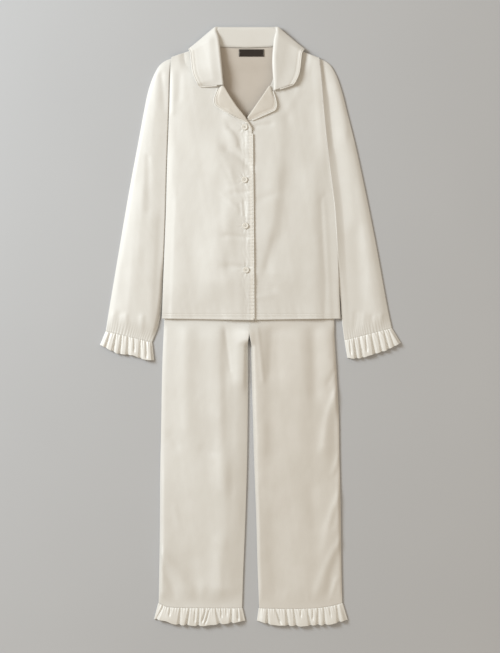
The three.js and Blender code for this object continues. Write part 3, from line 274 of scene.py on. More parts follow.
# Leg edges: the outer side seam and the inner edge, which is the centre seam above the crotch.
RIGHT_LEG = table("y side inner", [
    (-565, -183, -16),
    (-500, -182, -14),
    (-400, -180.5, -10),
    (-310, -180, -7),
    (-210, -178, -5),
    (-90, -176, -4),
    (-34, -174, -4),
    (-14, -173, -1.9),
    (-4, -172.5, -1.65),
    (40, -170, -1.65),
    (100, -162, -1.65),
    (160, -148, -1.65),
    (197, -134, -1.65),
])
LEFT_LEG = table("y side inner", [
    (-565, 185, 18.5),
    (-475, 183, 15),
    (-379, 182, 12.5),
    (-259, 179, 8),
    (-187, 178, 6),
    (-100, 174, 3.6),
    (-34, 170, 2),
    (-14, 169, -1.1),
    (-4, 169, -1.35),
    (40, 167, -1.35),
    (100, 160, -1.35),
    (160, 148, -1.35),
    (197, 134, -1.35),
])

LEG_FOLDS = table(FOLD, [
    (-126, 14, -128, -200, 0, 15, 15, 1.8, 0),
    (-177, 10, -179, -290, 0, 24, 24, 1.6, 0),
    (-64, 12, -62, -170, 0, 17, 18, 2.4, -0.3),
    (-47, 14, -44, -220, 0, 12, 15, -1.4, 0.2),
    (2, 20, -14, -104, 0, 21, 15, 4.6, -0.2),
    (-52, 6, -40, -86, 0, 4, 3, -0.8, 0),
    (-44, -130, -48, -300, 0, 18, 22, 2.2, -0.3),
    (-58, -190, -54, -320, 0, 12, 12, 1.3, 0),
    (-92, -246, -80, -252, 0, 9, 8, -1.2, 0),
    (-44, -215, -38, -330, 0, 9, 10, -0.4, 0),
    (-54, -300, -50, -550, 0, 25, 24, 3.4, -0.3),
    (-108, -190, -104, -430, 0, 24, 24, 1.6, 0),
    (-184, -340, -186, -450, 0, 34, 34, 6.4, 0),
    (-176, -456, -126, -538, 6, 10, 13, 2.8, 0.2),
    (-170, -490, -150, -540, 2, 9, 8, -2.2, 0),
    (-118, -470, -112, -520, 0, 14, 12, -1.2, 0),
    (-150, -366, -142, -400, 0, 7, 8, 0.8, 0),
    (-58, -440, -60, -556, -2, 14, 11, 2.3, -0.2),
    (-94, -520, -96, -556, 0, 8, 7, 1.0, 0),
    (-118, -530, -116, -558, 0, 7, 6, 1.1, 0),
    (-174, -536, -156, -552, 0, 6, 5, 1.6, 0),
    (-156, -222, -148, -236, 0, 8, 8, -1.0, 0),
    (10, 20, 18, -230, 0, 26, 22, 2.6, 0),
    (48, 18, 42, -84, 0, 28, 20, -3.7, 0.4),
    (14, 6, 26, -106, 0, 4, 4, 1.0, 0),
    (56, 14, 60, -120, 0, 11, 12, -0.4, 0),
    (104, -6, 104, -240, 0, 20, 22, 1.6, 0),
    (126, 14, 130, -130, 0, 14, 13, -2.4, 0),
    (157, 16, 161, -90, 0, 17, 15, 2.0, -0.2),
    (162, 12, 167, -60, 0, 5, 6, -0.8, 0),
    (167, -92, 158, -112, 0, 5, 6, -1.2, 0),
    (183, -112, 150, -236, -7, 10, 15, 3.0, 0.3),
    (170, -190, 172, -290, 0, 16, 16, -2.6, 0),
    (178, -262, 168, -290, 0, 5, 6, 1.4, 0),
    (38, -150, 46, -250, 0, 14, 16, -1.0, 0),
    (26, -205, 22, -300, 0, 12, 12, 1.2, 0),
    (189, -320, 152, -440, -6, 10, 18, 2.8, 0.3),
    (124, -330, 130, -400, 0, 12, 12, -1.4, 0),
    (192, -416, 134, -544, -8, 9, 14, 2.7, 0.2),
    (172, -370, 166, -398, 0, 6, 6, -1.0, 0),
    (176, -450, 160, -530, -3, 10, 11, -1.8, 0),
    (172, -510, 160, -550, 0, 5, 5, 1.4, 0),
    (48, -400, 54, -552, 0, 26, 28, -3.6, 0.3),
    (112, -470, 108, -556, 0, 18, 14, 1.0, 0),
    (74, -540, 76, -560, 0, 6, 5, 0.9, 0),
    (116, -540, 118, -562, 0, 5, 4, 0.9, 0),
    (60, -330, 80, -352, 0, 14, 14, -0.8, 0),
    (-186, -490, -188, -530, 0, 30, 30, 4.6, 0),
])

# Hem ruffles, from the side seam to the inseam: the seam's height and the free edge.
RIGHT_HEM = table("at seamY edgeX edgeY", [
    (0, -554, -191, -586),
    (0.12, -561.5, -170, -589),
    (0.25, -563, -146, -596),
    (0.45, -563.5, -108, -598.4),
    (0.85, -563.8, -40, -593),
    (1, -563.8, -10.6, -589),
])
LEFT_HEM = table("at seamY edgeX edgeY", [
    (0, -554, 194.4, -587),
    (0.15, -560, 168, -594),
    (0.3, -563.5, 143, -597),
    (0.6, -565, 92, -599),
    (0.85, -564.5, 44, -596),
    (1, -563.8, 15, -589),
])

# Cuff ruffles' free edges, from the outer fold to the inner fold.
RIGHT_CUFF = table("at edgeX edgeY", [
    (0, -299.5, -37),
    (0.33, -264, -53.5),
    (0.6, -234, -58),
    (0.8, -214, -65),
    (1, -193, -67),
])
LEFT_CUFF = table("at edgeX edgeY", [
    (0, 301, -33),
    (0.25, 279, -44.5),
    (0.5, 250, -54.5),
    (0.8, 216, -63.5),
    (1, 196, -62.5),
])

# Creases of the ruffles: where each meets the seam and the free edge as an x, its half-width,
# its depth, and the stretch from seam to edge that it runs over.
CREASE = "seam edge wide deep start end"
RIGHT_HEM_CREASES = table(CREASE, [
    (-173, -187, 2.6, 1, 0, 1),
    (-159, -163, 2.2, 0.7, 0, 0.6),
    (-139, -142, 3.0, 1, 0, 1),
    (-121, -127, 2.8, 1, 0, 1),
    (-110, -111, 2.0, 0.6, 0.2, 0.8),
    (-101, -104, 2.6, 1, 0, 1),
    (-88, -98, 2.4, 0.9, 0, 0.8),
    (-80, -91, 2.2, 0.8, 0.1, 0.9),
    (-69, -61, 3.0, 1, 0, 1),
    (-58, -56, 2.2, 0.7, 0, 0.6),
    (-47, -46, 2.2, 0.5, 0, 0.5),
    (-36, -38, 3.0, 1, 0, 1),
    (-25, -23, 2.4, 0.8, 0, 0.9),
])
LEFT_HEM_CREASES = table(CREASE, [
    (35, 35, 3.0, 1, 0, 1),
    (51, 63, 2.6, 1, 0, 0.9),
    (73, 76, 3.2, 1, 0, 1),
    (88, 92, 2.8, 1, 0, 1),
    (103, 100, 2.4, 0.6, 0, 0.5),
    (115, 121, 2.8, 1, 0, 1),
    (127, 124, 2.2, 0.6, 0, 0.7),
    (137, 136, 3.4, 0.9, 0, 1),
    (148, 150, 2.8, 1, 0, 1),
    (160, 163, 2.0, 0.5, 0, 0.6),
    (174, 178, 3.0, 1, 0, 1),
])
RIGHT_CUFF_CREASES = table(CREASE, [
    (-279, -289, 2.0, 0.7, 0, 1),
    (-268, -274, 2.6, 1, 0, 1),
    (-256, -261, 2.4, 0.9, 0, 1),
    (-243, -245, 3.2, 1, 0, 1),
    (-231, -232, 2.2, 0.7, 0, 0.8),
    (-219, -220, 2.8, 1, 0, 1),
    (-208, -207, 2.4, 0.8, 0, 0.9),
])
LEFT_CUFF_CREASES = table(CREASE, [
    (199, 203, 2.0, 0.6, 0, 0.8),
    (208, 213, 2.6, 1, 0, 1),
    (219, 225, 2.6, 1, 0, 1),
    (231, 235, 2.2, 0.7, 0, 0.8),
    (243, 250, 2.8, 1, 0, 1),
    (256, 264, 2.4, 0.8, 0, 1),
    (268, 277, 2.4, 1, 0, 1),
    (277, 289, 2.0, 0.6, 0, 1),
])

# The collar from its notched end to the centre back. half is measured out from the shirt's axis.
COLLAR = table("at seamHalf seamY foldHalf foldY edgeHalf edgeY seamZ foldZ edgeZ turn roll on", [
    (0, 53, 482.5, 46, 482, 93, 480, 9, 14, 7, 0, 2.2, 1),
    (1, 55, 499, 47.9, 501, 97.5, 488, 9, 14, 7, 0, 2.6, 1),
    (2, 60, 515, 49.9, 523, 105.5, 509, 9, 14, 7, 0, 3, 1),
    (3, 68, 535, 52.6, 551, 108.5, 533, 9, 14, 7, 0, 3.2, 1),
    (4, 75, 553, 55.6, 577, 110, 548, 8.4, 12.6, 7.2, 20, 3.4, 1),
    (5, 77.5, 560, 59.3, 589.5, 114, 556, 7.9, 11, 6.9, 55, 3.5, 0),
    (6, 78, 564, 59.3, 597, 113, 557.6, 7.4, 9.4, 4.35, 90, 3.6, 0),
    (7, 76, 563.4, 56.5, 598.4, 110.5, 554.6, 6.5, 7.6, 1.9, 125, 3.8, 0),
    (8, 71, 562.4, 51, 599, 104, 549, 6, 6.1, 0.85, 158, 4, 0),
    (9, 42, 559.5, 29, 599, 57, 546, 5.4, 5.25, 0.75, 180, 4.4, 0),
    (10, 0, 558, 0, 599, 0, 545, 5.3, 5.25, 0.75, 180, 4.5, 0),
])

# Free edges of the lapels from the break up to the gorge, by the row of the front panel that
# each lapel rolls up from.
RIGHT_LAPEL = table("at edgeX edgeY", [
    (380, 0.8, 396.5),
    (391, -7, 408.6),
    (403, -26, 417.5),
    (414, -46, 428),
    (426, -61, 437.5),
    (438, -69.5, 444.8),
    (448, -70.5, 453),
    (457, -66.5, 465),
    (463, -62.5, 475.5),
])
LEFT_LAPEL = table("at edgeX edgeY", [
    (407, -2, 411.4),
    (413, 4, 413),
    (416, 7.5, 414.4),
    (421, 13.5, 417),
    (428, 27, 423),
    (435, 40, 428.8),
    (443, 49.5, 434),
    (451, 51.6, 443),
    (458, 48.5, 458),
    (463, 44.5, 470),
])

HEM_SEWING = (20.2, 24.8)
TICK_EVERY = 6.9
BUTTONS = [(-11, 398.5), (-11, 293), (-9.4, 201), (-8, 113)]
LABEL = {"left": -22, "right": 28, "bottom": 540.5, "top": 554.5}


# Plain helpers.

def mix(a, b, share):
    return a + (b - a) * share


def smooth(low, high, value):
    share = np.clip((value - low) / (high - low), 0, 1)
    return share * share * (3 - 2 * share)


def swell(share):
    return np.sin((math.pi / 2) * np.clip(share, 0, 1))


def unit(vectors):
    return vectors / np.maximum(np.linalg.norm(vectors, axis=-1, keepdims=True), 1e-9)


def row_at(rows, key, value):
    """Reads a table at values of its key column; every other column is eased between the rows."""
    knots = rows[key]
    value = np.asarray(value, float)
    low = np.searchsorted(knots[1:-1], value, side="left")
    span = knots[low + 1] - knots[low]
    share = np.clip((value - knots[low]) / span, 0, 1)
    s2 = share * share
    s3 = s2 * share
    found = {}
    for column, values in rows.items():
        rise = np.diff(values) / np.diff(knots)
        before = rise[:-1]
        after = rise[1:]
        level = np.where(before + after == 0, 1, before + after)
        inside = np.where(before * after <= 0, 0, 2 * before * after / level)
        slope = np.concatenate([rise[:1], inside, rise[-1:]])
        found[column] = (
            (2 * s3 - 3 * s2 + 1) * values[low]
            + (s3 - 2 * s2 + share) * span * slope[low]
            + (3 * s2 - 2 * s3) * values[low + 1]
            + (s3 - s2) * span * slope[low + 1]
        )
    return found


def folds_at(folds, x, y):
    """Sum of the folds at points: each is a soft ridge or trough along its own bowed line."""
    height = np.zeros(np.broadcast(x, y).shape)
    x = np.broadcast_to(x, height.shape)
    y = np.broadcast_to(y, height.shape)
    for index in range(len(folds["x0"])):
        x0, y0, x1, y1, bow, wide0, wide1, high, lean = (folds[name][index] for name in FOLD.split())
        reach = 3 * max(wide0, wide1) * (1 + abs(lean)) + abs(bow)
        near = (x > min(x0, x1) - reach) & (x < max(x0, x1) + reach)
        near &= (y > min(y0, y1) - reach) & (y < max(y0, y1) + reach)
        if not near.any():
            continue
        length = math.hypot(x1 - x0, y1 - y0)
        run_x = (x1 - x0) / length
        run_y = (y1 - y0) / length
        from_x = x[near] - x0
        from_y = y[near] - y0
        along = from_x * run_x + from_y * run_y
        share = np.clip(along / length, 0, 1)
        side = from_y * run_x - from_x * run_y - bow * 4 * share * (1 - share)
        wide = mix(wide0, wide1, share)
        leaning = wide * np.where(side > 0, 1 + lean, 1 - lean)
        beyond = np.maximum(0, np.maximum(-along, along - length)) / (1.5 * wide)
        height[near] += high * np.exp(-((side / leaning) ** 2) - beyond**2)
    return height


def ripple(x, y, long, short, turn=0.0, seed=0.0):
    """Uneven waviness between -1 and 1, long one way and short the other, always the same."""
    c = math.cos(turn)
    s = math.sin(turn)
    u = (c * x + s * y) / short
    v = (c * y - s * x) / long
    total = np.sin(6.3 * u + 1.9 * np.sin(4.1 * v + seed) + seed)
    total = total + 0.8 * np.sin(3.7 * u - 2.3 * v + 2.1 * np.sin(2.9 * v + 1.3 * seed) + 2 * seed)
    total = total + 0.6 * np.sin(9.4 * u + 3.1 * v + 1.4 * np.sin(5.3 * u + seed) + 3 * seed)
    return total / 2.4


# Heights of the cloth.

def side_distance(x, y):
    row = row_at(SIDES, "y", y)
    return np.minimum(x - row["left"], row["right"] - x)


def shoulder_y(x):
    edge = row_at(TOP_LINE, "x", np.clip(x, -157, 136))["y"]
    return np.where((x > -85) & (x < 71), 564, edge)


def shirt_support(x, y):
    inward = side_distance(x, y)
    reach = row_at(TUCK, "y", y)["reach"]
    over_sleeve = SLEEVE_UNDER_LIFT * (1 - smooth(reach + 3, reach + 29, inward))
    above_waist = smooth(WAIST_TOP_Y + 3, WAIST_TOP_Y + 45, y)
    over_trousers = TROUSERS_UNDER_LIFT * smooth(0, 20, inward) * (1 - above_waist)
    near_collar = 1 - smooth(118, 146, np.abs(x - SHIRT_AXIS_X))
    over_collar = COLLAR_UNDER_LIFT * smooth(505, 538, y) * near_collar
    return np.maximum(np.maximum(over_sleeve, over_trousers), over_collar)


def back_top(x, y):
    return shirt_support(x, y) + CLOTH


def soft_max(a, b):
    return (a + b + np.sqrt((a - b) ** 2 + SUPPORT_EASE**2)) / 2


def front_support(x, y):
    """The fronts bridge softly over what holds the shirt's back up."""
    inward = side_distance(x, y)
    reach = row_at(TUCK, "y", y)["reach"]
    over_sleeve = SLEEVE_UNDER_LIFT * (1 - smooth(reach + 3, reach + 85, inward))
    above_waist = smooth(WAIST_TOP_Y + 3, WAIST_TOP_Y + 190, y)
    over_trousers = TROUSERS_UNDER_LIFT * smooth(0, 20, inward) * (1 - above_waist)
    near_collar = 1 - smooth(118, 146, np.abs(x - SHIRT_AXIS_X))
    over_collar = COLLAR_UNDER_LIFT * smooth(470, 538, y) * near_collar
    soft = soft_max(soft_max(over_sleeve, over_trousers), over_collar)
    return mix(soft, shirt_support(x, y), smooth(505, 538, y))


def front_detail(x, y):
    """Small unevenness of the fronts: soft waviness, and the pull of the side and hem seams."""
    inward = side_distance(x, y)
    calm = swell(inward / 14) * swell((shoulder_y(x) - y) / 20)
    soft = 0.2 * ripple(x, y, 150, 44, 0.12, 1.0) + 0.06 * ripple(x, y, 60, 19, -0.3, 2.4)
    hem = 0.22 * np.exp(-(((y - 30) / 14) ** 2)) * ripple(x, y, 60, 15, 0.0, 4.0)
    sewn = 0
    for line_y in HEM_SEWING:
        sewn = sewn - 0.45 * np.exp(-(((y - line_y) / 1.1) ** 2))
    return (soft + hem) * calm + sewn


def under_front_top(x, y):
    inward = side_distance(x, y)
    from_shoulder = shoulder_y(x) - y
    roll = SIDE_ROLL_SHARE * swell(inward / SIDE_ROLL)
    right_side = swell(inward / RIGHT_SIDE_ROUND)
    left_side = smooth(LEFT_SIDE_FLAT, LEFT_SIDE_RISEN, inward)
    across = roll + (1 - SIDE_ROLL_SHARE) * np.where(x < SHIRT_AXIS_X, right_side, left_side)
    rise = across * swell(from_shoulder / SHOULDER_ROUND)
    hem = mix(0.2, 1, smooth(0, 80, y - SHIRT_HEM_Y))
    near_neck = np.exp(-(((x - SHIRT_AXIS_X) / 90) ** 2)) * smooth(400, 500, y)
    neck = NECK_RAISE * near_neck * swell(from_shoulder / 60)
    creases = folds_at(SHIRT_FOLDS, x, y) * swell(inward / 14) * swell(from_shoulder / 60)
    lift = armhole_lift(x, inward, y) * swell(from_shoulder / 12)
    air = np.maximum(0, SHIRT_AIR * rise * hem + neck + creases + front_detail(x, y) + lift)
    return front_support(x, y) + CLOTH + REST + CLOTH + air


def upper_front_top(x, y):
    return under_front_top(x, y) + LAP_RAISE * smooth(-62, -34, x)


def front_top(x, y):
    return np.where(x < SHIRT_AXIS_X, upper_front_top(x, y), under_front_top(x, y))


def seam_top(share):
    arch = np.maximum(np.sin(math.pi * np.clip(share, 0, 1)), 0)
    return TUBE_EDGE + SEAM_PUFF * arch**0.6


# Mesh making.

def body(name, points, faces, finish, smooth_shaded=True):
    """A mesh object from points in millimetres."""
    mesh = bpy.data.meshes.new(name)
    mesh.from_pydata((np.asarray(points) * MM).tolist(), [], faces)
    mesh.validate()
    mesh.polygons.foreach_set("use_smooth", [smooth_shaded] * len(mesh.polygons))
    piece = bpy.data.objects.new(name, mesh)
    bpy.context.scene.collection.objects.link(piece)
    mesh.materials.append(finish)
    return piece


def open_edges(rows, columns, ring):
    if ring:
        first = [(0, c) for c in range(columns)]
        last = [(rows - 1, c) for c in reversed(range(columns))]
        return [first, last]
    end_row = rows - 1
    end_column = columns - 1
    loop = [(0, c) for c in range(end_column)]
    loop += [(r, end_column) for r in range(end_row)]
    loop += [(end_row, c) for c in range(end_column, 0, -1)]
    loop += [(r, 0) for r in range(end_row, 0, -1)]
    return [loop]


def shell(name, outer, inner, finish, ring=False, rounding=0.3):
    """A closed wall of cloth between two matching grids, its open edges rounded over."""
    rows, columns = outer.shape[:2]
    count = rows * columns
    index = np.arange(count).reshape(rows, columns)
    right = np.roll(index, -1, axis=1) if ring else index[:, 1:]
    here = index if ring else index[:, :-1]
    quads = np.stack([here[:-1], right[:-1], right[1:], here[1:]], axis=-1).reshape(-1, 4)
    faces = quads.tolist() + (quads[:, ::-1] + count).tolist()
    points = [outer.reshape(-1, 3), inner.reshape(-1, 3)]
    start = 2 * count
    for loop in open_edges(rows, columns, ring):
        rim = []
        for r, c in loop:
            out = np.zeros(3)
            if r == 0:
                out += outer[0, c] - outer[1, c]
            if r == rows - 1:
                out += outer[-1, c] - outer[-2, c]
            if not ring and c == 0:
                out += outer[r, 0] - outer[r, 1]
            if not ring and c == columns - 1:
                out += outer[r, -1] - outer[r, -2]
            out /= max(np.linalg.norm(out), 1e-9)
            rim.append((outer[r, c] + inner[r, c]) / 2 + rounding * out)
        points.append(np.array(rim))
        size = len(loop)
        for k in range(size):
            a = index[loop[k]]
            b = index[loop[(k + 1) % size]]
            mid_a = start + k
            mid_b = start + (k + 1) % size
            faces.append([b, a, mid_a, mid_b])
            faces.append([mid_b, mid_a, a + count, b + count])
        start += size
    points = np.concatenate(points)
    tall = points[np.array(quads)]
    across = np.cross(tall[:, 2] - tall[:, 0], tall[:, 3] - tall[:, 1])
    if (across * (tall.mean(axis=1) - inner.reshape(-1, 3)[quads].mean(axis=1))).sum() < 0:
        faces = [list(reversed(face)) for face in faces]
    return body(name, points, [[int(i) for i in face] for face in faces], finish)


def grid_normals(grid, ring=False):
    along = np.empty_like(grid)
    along[1:-1] = grid[2:] - grid[:-2]
    along[0] = grid[1] - grid[0]
    along[-1] = grid[-1] - grid[-2]
    if ring:
        across = np.roll(grid, -1, axis=1) - np.roll(grid, 1, axis=1)
    else:
        across = np.empty_like(grid)
        across[:, 1:-1] = grid[:, 2:] - grid[:, :-2]
        across[:, 0] = grid[:, 1] - grid[:, 0]
        across[:, -1] = grid[:, -1] - grid[:, -2]
    return unit(np.cross(across, along))


def panel_below(name, grid, wall, finish):
    upright = np.maximum(np.abs(grid_normals(grid)[..., 2:]), 0.7)
    under = grid - np.concatenate([np.zeros_like(grid[..., :2]), wall / upright], axis=-1)
    return shell(name, grid, under, finish)


def panel_about(name, grid, wall, finish):
    normals = grid_normals(grid)
    return shell(name, grid + normals * wall / 2, grid - normals * wall / 2, finish)


def tube_ring(name, grid, wall, finish):
    """A tube of cloth: the wall is taken inward from a ring grid."""
    normals = grid_normals(grid, ring=True)
    centre = grid.mean(axis=1, keepdims=True)
    if (normals * (grid - centre)).sum() < 0:
        normals = -normals
    return shell(name, grid, grid - normals * wall, finish, ring=True)


def stack(x, y, z):
    x, y, z = np.broadcast_arrays(x, y, z)
    return np.stack([x, y, z], axis=-1).astype(float)


def shares_between(*parts):
    """Joins even runs of shares: each part is (from, to, steps)."""
    runs = [np.linspace(low, high, count, endpoint=False) for low, high, count in parts]
    return np.concatenate(runs + [np.array([parts[-1][1]])])


def even_line(points, step, rounds=2):
    """Even steps along a line of points, its corners softened."""
    lengths = np.linalg.norm(np.diff(points, axis=0), axis=1)
    place = np.concatenate([[0], np.cumsum(lengths)])
    wanted = np.linspace(0, place[-1], max(3, int(round(place[-1] / step)) + 1))
    line = np.stack([np.interp(wanted, place, points[:, axis]) for axis in range(3)], axis=1)
    for _ in range(rounds):
        line[1:-1] = (line[:-2] + 2 * line[1:-1] + line[2:]) / 4
    return line


def cord_mesh(name, line, radius, finish, sides=12, bead=0.0, bead_every=1.0):
    """A round cord along an even line, with rounded ends and, where asked, small sewn waists."""
    run = np.gradient(line, axis=0)
    run = unit(run)
    across = unit(np.cross(run, np.array([0, 0, 1.0])))
    lift = np.cross(across, run)
    count = len(line)
    place = np.concatenate([[0], np.cumsum(np.linalg.norm(np.diff(line, axis=0), axis=1))])
    waist = 1 - bead * (0.5 + 0.5 * np.cos(2 * math.pi * place / bead_every)) ** 3
    from_end = np.minimum(place, place[-1] - place)
    cap = np.sqrt(np.clip(from_end / radius, 0.02, 1) * (2 - np.clip(from_end / radius, 0.02, 1)))
    size = radius * waist * cap
    angle = np.linspace(0, 2 * math.pi, sides, endpoint=False)
    ring = (
        line[:, None]
        + size[:, None, None] * np.cos(angle)[None, :, None] * across[:, None]
        + size[:, None, None] * np.sin(angle)[None, :, None] * lift[:, None]
    )
    index = np.arange(count * sides).reshape(count, sides)
    after = np.roll(index, -1, axis=1)
    quads = np.stack([index[:-1], after[:-1], after[1:], index[1:]], axis=-1).reshape(-1, 4)
    faces = quads.tolist()
    faces.append(index[0][::-1].tolist())
    faces.append(index[-1].tolist())
    return body(name, ring.reshape(-1, 3), faces, finish)


def stitch_row(points, normals, length=2.4, space=3.2, thick=0.24):
    """Points and faces of a row of stitches lying on a line: each is a small sunken capsule."""
    lengths = np.linalg.norm(np.diff(points, axis=0), axis=1)
    place = np.concatenate([[0], np.cumsum(lengths)])
    starts = np.arange(space / 2, place[-1] - length, space)
    verts = []
    faces = []
    sides = 6
    profile = [(0.0, 0.15, -0.5), (0.12, 0.8, 0.0), (0.5, 1.0, 0.35), (0.88, 0.8, 0.0), (1.0, 0.15, -0.5)]
    for begin in starts:
        base = len(verts)
        for share, size, lift in profile:
            spot = begin + share * length
            centre = np.array([np.interp(spot, place, points[:, axis]) for axis in range(3)])
            ahead = np.array([np.interp(spot + 0.4, place, points[:, axis]) for axis in range(3)])
            up = np.array([np.interp(spot, place, normals[:, axis]) for axis in range(3)])
            run = unit(ahead - centre) if spot + 0.4 < place[-1] else run
            across = unit(np.cross(run, up))
            for side in range(sides):
                angle = 2 * math.pi * side / sides
                offset = across * math.cos(angle) * 1.2 + up * (math.sin(angle) * 0.8)
                verts.append(centre + up * thick * lift + offset * thick * size)
        for ring in range(len(profile) - 1):
            for side in range(sides):
                a = base + ring * sides + side
                b = base + ring * sides + (side + 1) % sides
                faces.append([a, b, b + sides, a + sides])
        faces.append([base + side for side in reversed(range(sides))])
        last = base + (len(profile) - 1) * sides
        faces.append([last + side for side in range(sides)])
    return verts, faces


def stitches(name, rows, finish, **sizes):
    """One piece from several rows of stitches."""
    verts = []
    faces = []
    for points, normals in rows:
        row_verts, row_faces = stitch_row(points, normals, **sizes)
        faces += [[index + len(verts) for index in face] for face in row_faces]
        verts += row_verts
    return body(name, np.array(verts), faces, finish)


def surface_line(x, y, height):
    """Points on a height field, and the upward directions there."""
    step = 0.5
    z = height(x, y)
    slope_x = (height(x + step, y) - height(x - step, y)) / (2 * step)
    slope_y = (height(x, y + step) - height(x, y - step)) / (2 * step)
    return stack(x, y, z), unit(stack(-slope_x, -slope_y, np.ones_like(z)))


# Materials.

def new_material(name):
    material = bpy.data.materials.new(name)
    material.use_nodes = True
    tree = material.node_tree
    shader = tree.nodes["Principled BSDF"]
    return material, tree, shader


def add_node(tree, kind, **values):
    node = tree.nodes.new(kind)
    for key, value in values.items():
        if hasattr(node, key):
            setattr(node, key, value)
        else:
            node.inputs[key].default_value = value
    return node


def woven(name, light, dark, rough, sheen, weave=0.55, depth=0.05, patch=26.0, turn=0.6, level=0.5,
          lustre=0.0):
    """Woven cloth: fine slanting threads, a soft change of tone, and its own gloss."""
    material, tree, shader = new_material(name)
    link = tree.links.new
    place = add_node(tree, "ShaderNodeTexCoord")
    tone = add_node(tree, "ShaderNodeTexNoise")
    tone.inputs["Scale"].default_value = patch
    tone.inputs["Detail"].default_value = 4
    link(place.outputs["Object"], tone.inputs["Vector"])
    ramp = add_node(tree, "ShaderNodeValToRGB")
    ramp.color_ramp.elements[0].position = 0.3
    ramp.color_ramp.elements[0].color = (*dark, 1)
    ramp.color_ramp.elements[1].position = 0.72
    ramp.color_ramp.elements[1].color = (*light, 1)
    link(tone.outputs["Fac"], ramp.inputs["Fac"])

    turned = add_node(tree, "ShaderNodeMapping")
    turned.inputs["Rotation"].default_value = (0, 0, turn)
    link(place.outputs["Object"], turned.inputs["Vector"])
    threads = add_node(tree, "ShaderNodeTexWave", wave_type="BANDS", bands_direction="X")
    threads.inputs["Scale"].default_value = 0.314 / (weave * MM)
    threads.inputs["Distortion"].default_value = 0.6
    threads.inputs["Detail"].default_value = 1
    link(turned.outputs["Vector"], threads.inputs["Vector"])
    crossing = add_node(tree, "ShaderNodeTexWave", wave_type="BANDS", bands_direction="Y")
    crossing.inputs["Scale"].default_value = 0.314 / (1.7 * weave * MM)
    crossing.inputs["Distortion"].default_value = 0.8
    link(turned.outputs["Vector"], crossing.inputs["Vector"])
    both = add_node(tree, "ShaderNodeMath", operation="MULTIPLY_ADD")
    both.inputs[1].default_value = 0.4
    link(crossing.outputs["Fac"], both.inputs[0])
    link(threads.outputs["Fac"], both.inputs[2])

    fade = add_node(tree, "ShaderNodeMixRGB", blend_type="MULTIPLY")
    fade.inputs["Fac"].default_value = 0.05
    link(ramp.outputs["Color"], fade.inputs["Color1"])
    link(threads.outputs["Color"], fade.inputs["Color2"])
    link(fade.outputs["Color"], shader.inputs["Base Color"])

    slub = add_node(tree, "ShaderNodeTexNoise")
    slub.inputs["Scale"].default_value = 900
    slub.inputs["Detail"].default_value = 2
    link(place.outputs["Object"], slub.inputs["Vector"])
    grain = add_node(tree, "ShaderNodeMath", operation="MULTIPLY_ADD")
    grain.inputs[1].default_value = 0.5
    link(slub.outputs["Fac"], grain.inputs[0])
    link(both.outputs["Value"], grain.inputs[2])
    bump = add_node(tree, "ShaderNodeBump")
    bump.inputs["Strength"].default_value = 0.35
    bump.inputs["Distance"].default_value = depth * MM
    link(grain.outputs["Value"], bump.inputs["Height"])
    link(bump.outputs["Normal"], shader.inputs["Normal"])

    gloss = add_node(tree, "ShaderNodeMapRange")
    gloss.inputs["To Min"].default_value = rough - 0.05
    gloss.inputs["To Max"].default_value = rough + 0.06
    link(tone.outputs["Fac"], gloss.inputs["Value"])
    link(gloss.outputs["Result"], shader.inputs["Roughness"])
    shader.inputs["Sheen Weight"].default_value = sheen
    shader.inputs["Sheen Roughness"].default_value = 0.45
    shader.inputs["Specular IOR Level"].default_value = level
    shader.inputs["Metallic"].default_value = lustre
    return material


def pearl_material(name):
    material, tree, shader = new_material(name)
    link = tree.links.new
    place = add_node(tree, "ShaderNodeTexCoord")
    cloud = add_node(tree, "ShaderNodeTexNoise")
    cloud.inputs["Scale"].default_value = 260
    cloud.inputs["Detail"].default_value = 3
    cloud.inputs["Distortion"].default_value = 1.5
    link(place.outputs["Object"], cloud.inputs["Vector"])
    ramp = add_node(tree, "ShaderNodeValToRGB")
    ramp.color_ramp.elements[0].position = 0.35
    ramp.color_ramp.elements[0].color = (0.79, 0.765, 0.71, 1)
    ramp.color_ramp.elements[1].position = 0.65
    ramp.color_ramp.elements[1].color = (0.88, 0.86, 0.81, 1)
    link(cloud.outputs["Fac"], ramp.inputs["Fac"])
    link(ramp.outputs["Color"], shader.inputs["Base Color"])
    bump = add_node(tree, "ShaderNodeBump")
    bump.inputs["Strength"].default_value = 0.1
    bump.inputs["Distance"].default_value = 0.05 * MM
    link(cloud.outputs["Fac"], bump.inputs["Height"])
    link(bump.outputs["Normal"], shader.inputs["Normal"])
    shader.inputs["Roughness"].default_value = 0.22
    shader.inputs["Coat Weight"].default_value = 0.4
    shader.inputs["Coat Roughness"].default_value = 0.12
    return material


def floor_material(name):
    material, tree, shader = new_material(name)
    link = tree.links.new
    place = add_node(tree, "ShaderNodeTexCoord")
    tone = add_node(tree, "ShaderNodeTexNoise")
    tone.inputs["Scale"].default_value = 3
    link(place.outputs["Object"], tone.inputs["Vector"])
    ramp = add_node(tree, "ShaderNodeValToRGB")
    ramp.color_ramp.elements[0].color = (0.50, 0.51, 0.53, 1)
    ramp.color_ramp.elements[1].color = (0.53, 0.54, 0.56, 1)
    link(tone.outputs["Fac"], ramp.inputs["Fac"])
    link(ramp.outputs["Color"], shader.inputs["Base Color"])
    shader.inputs["Roughness"].default_value = 0.8
    return material


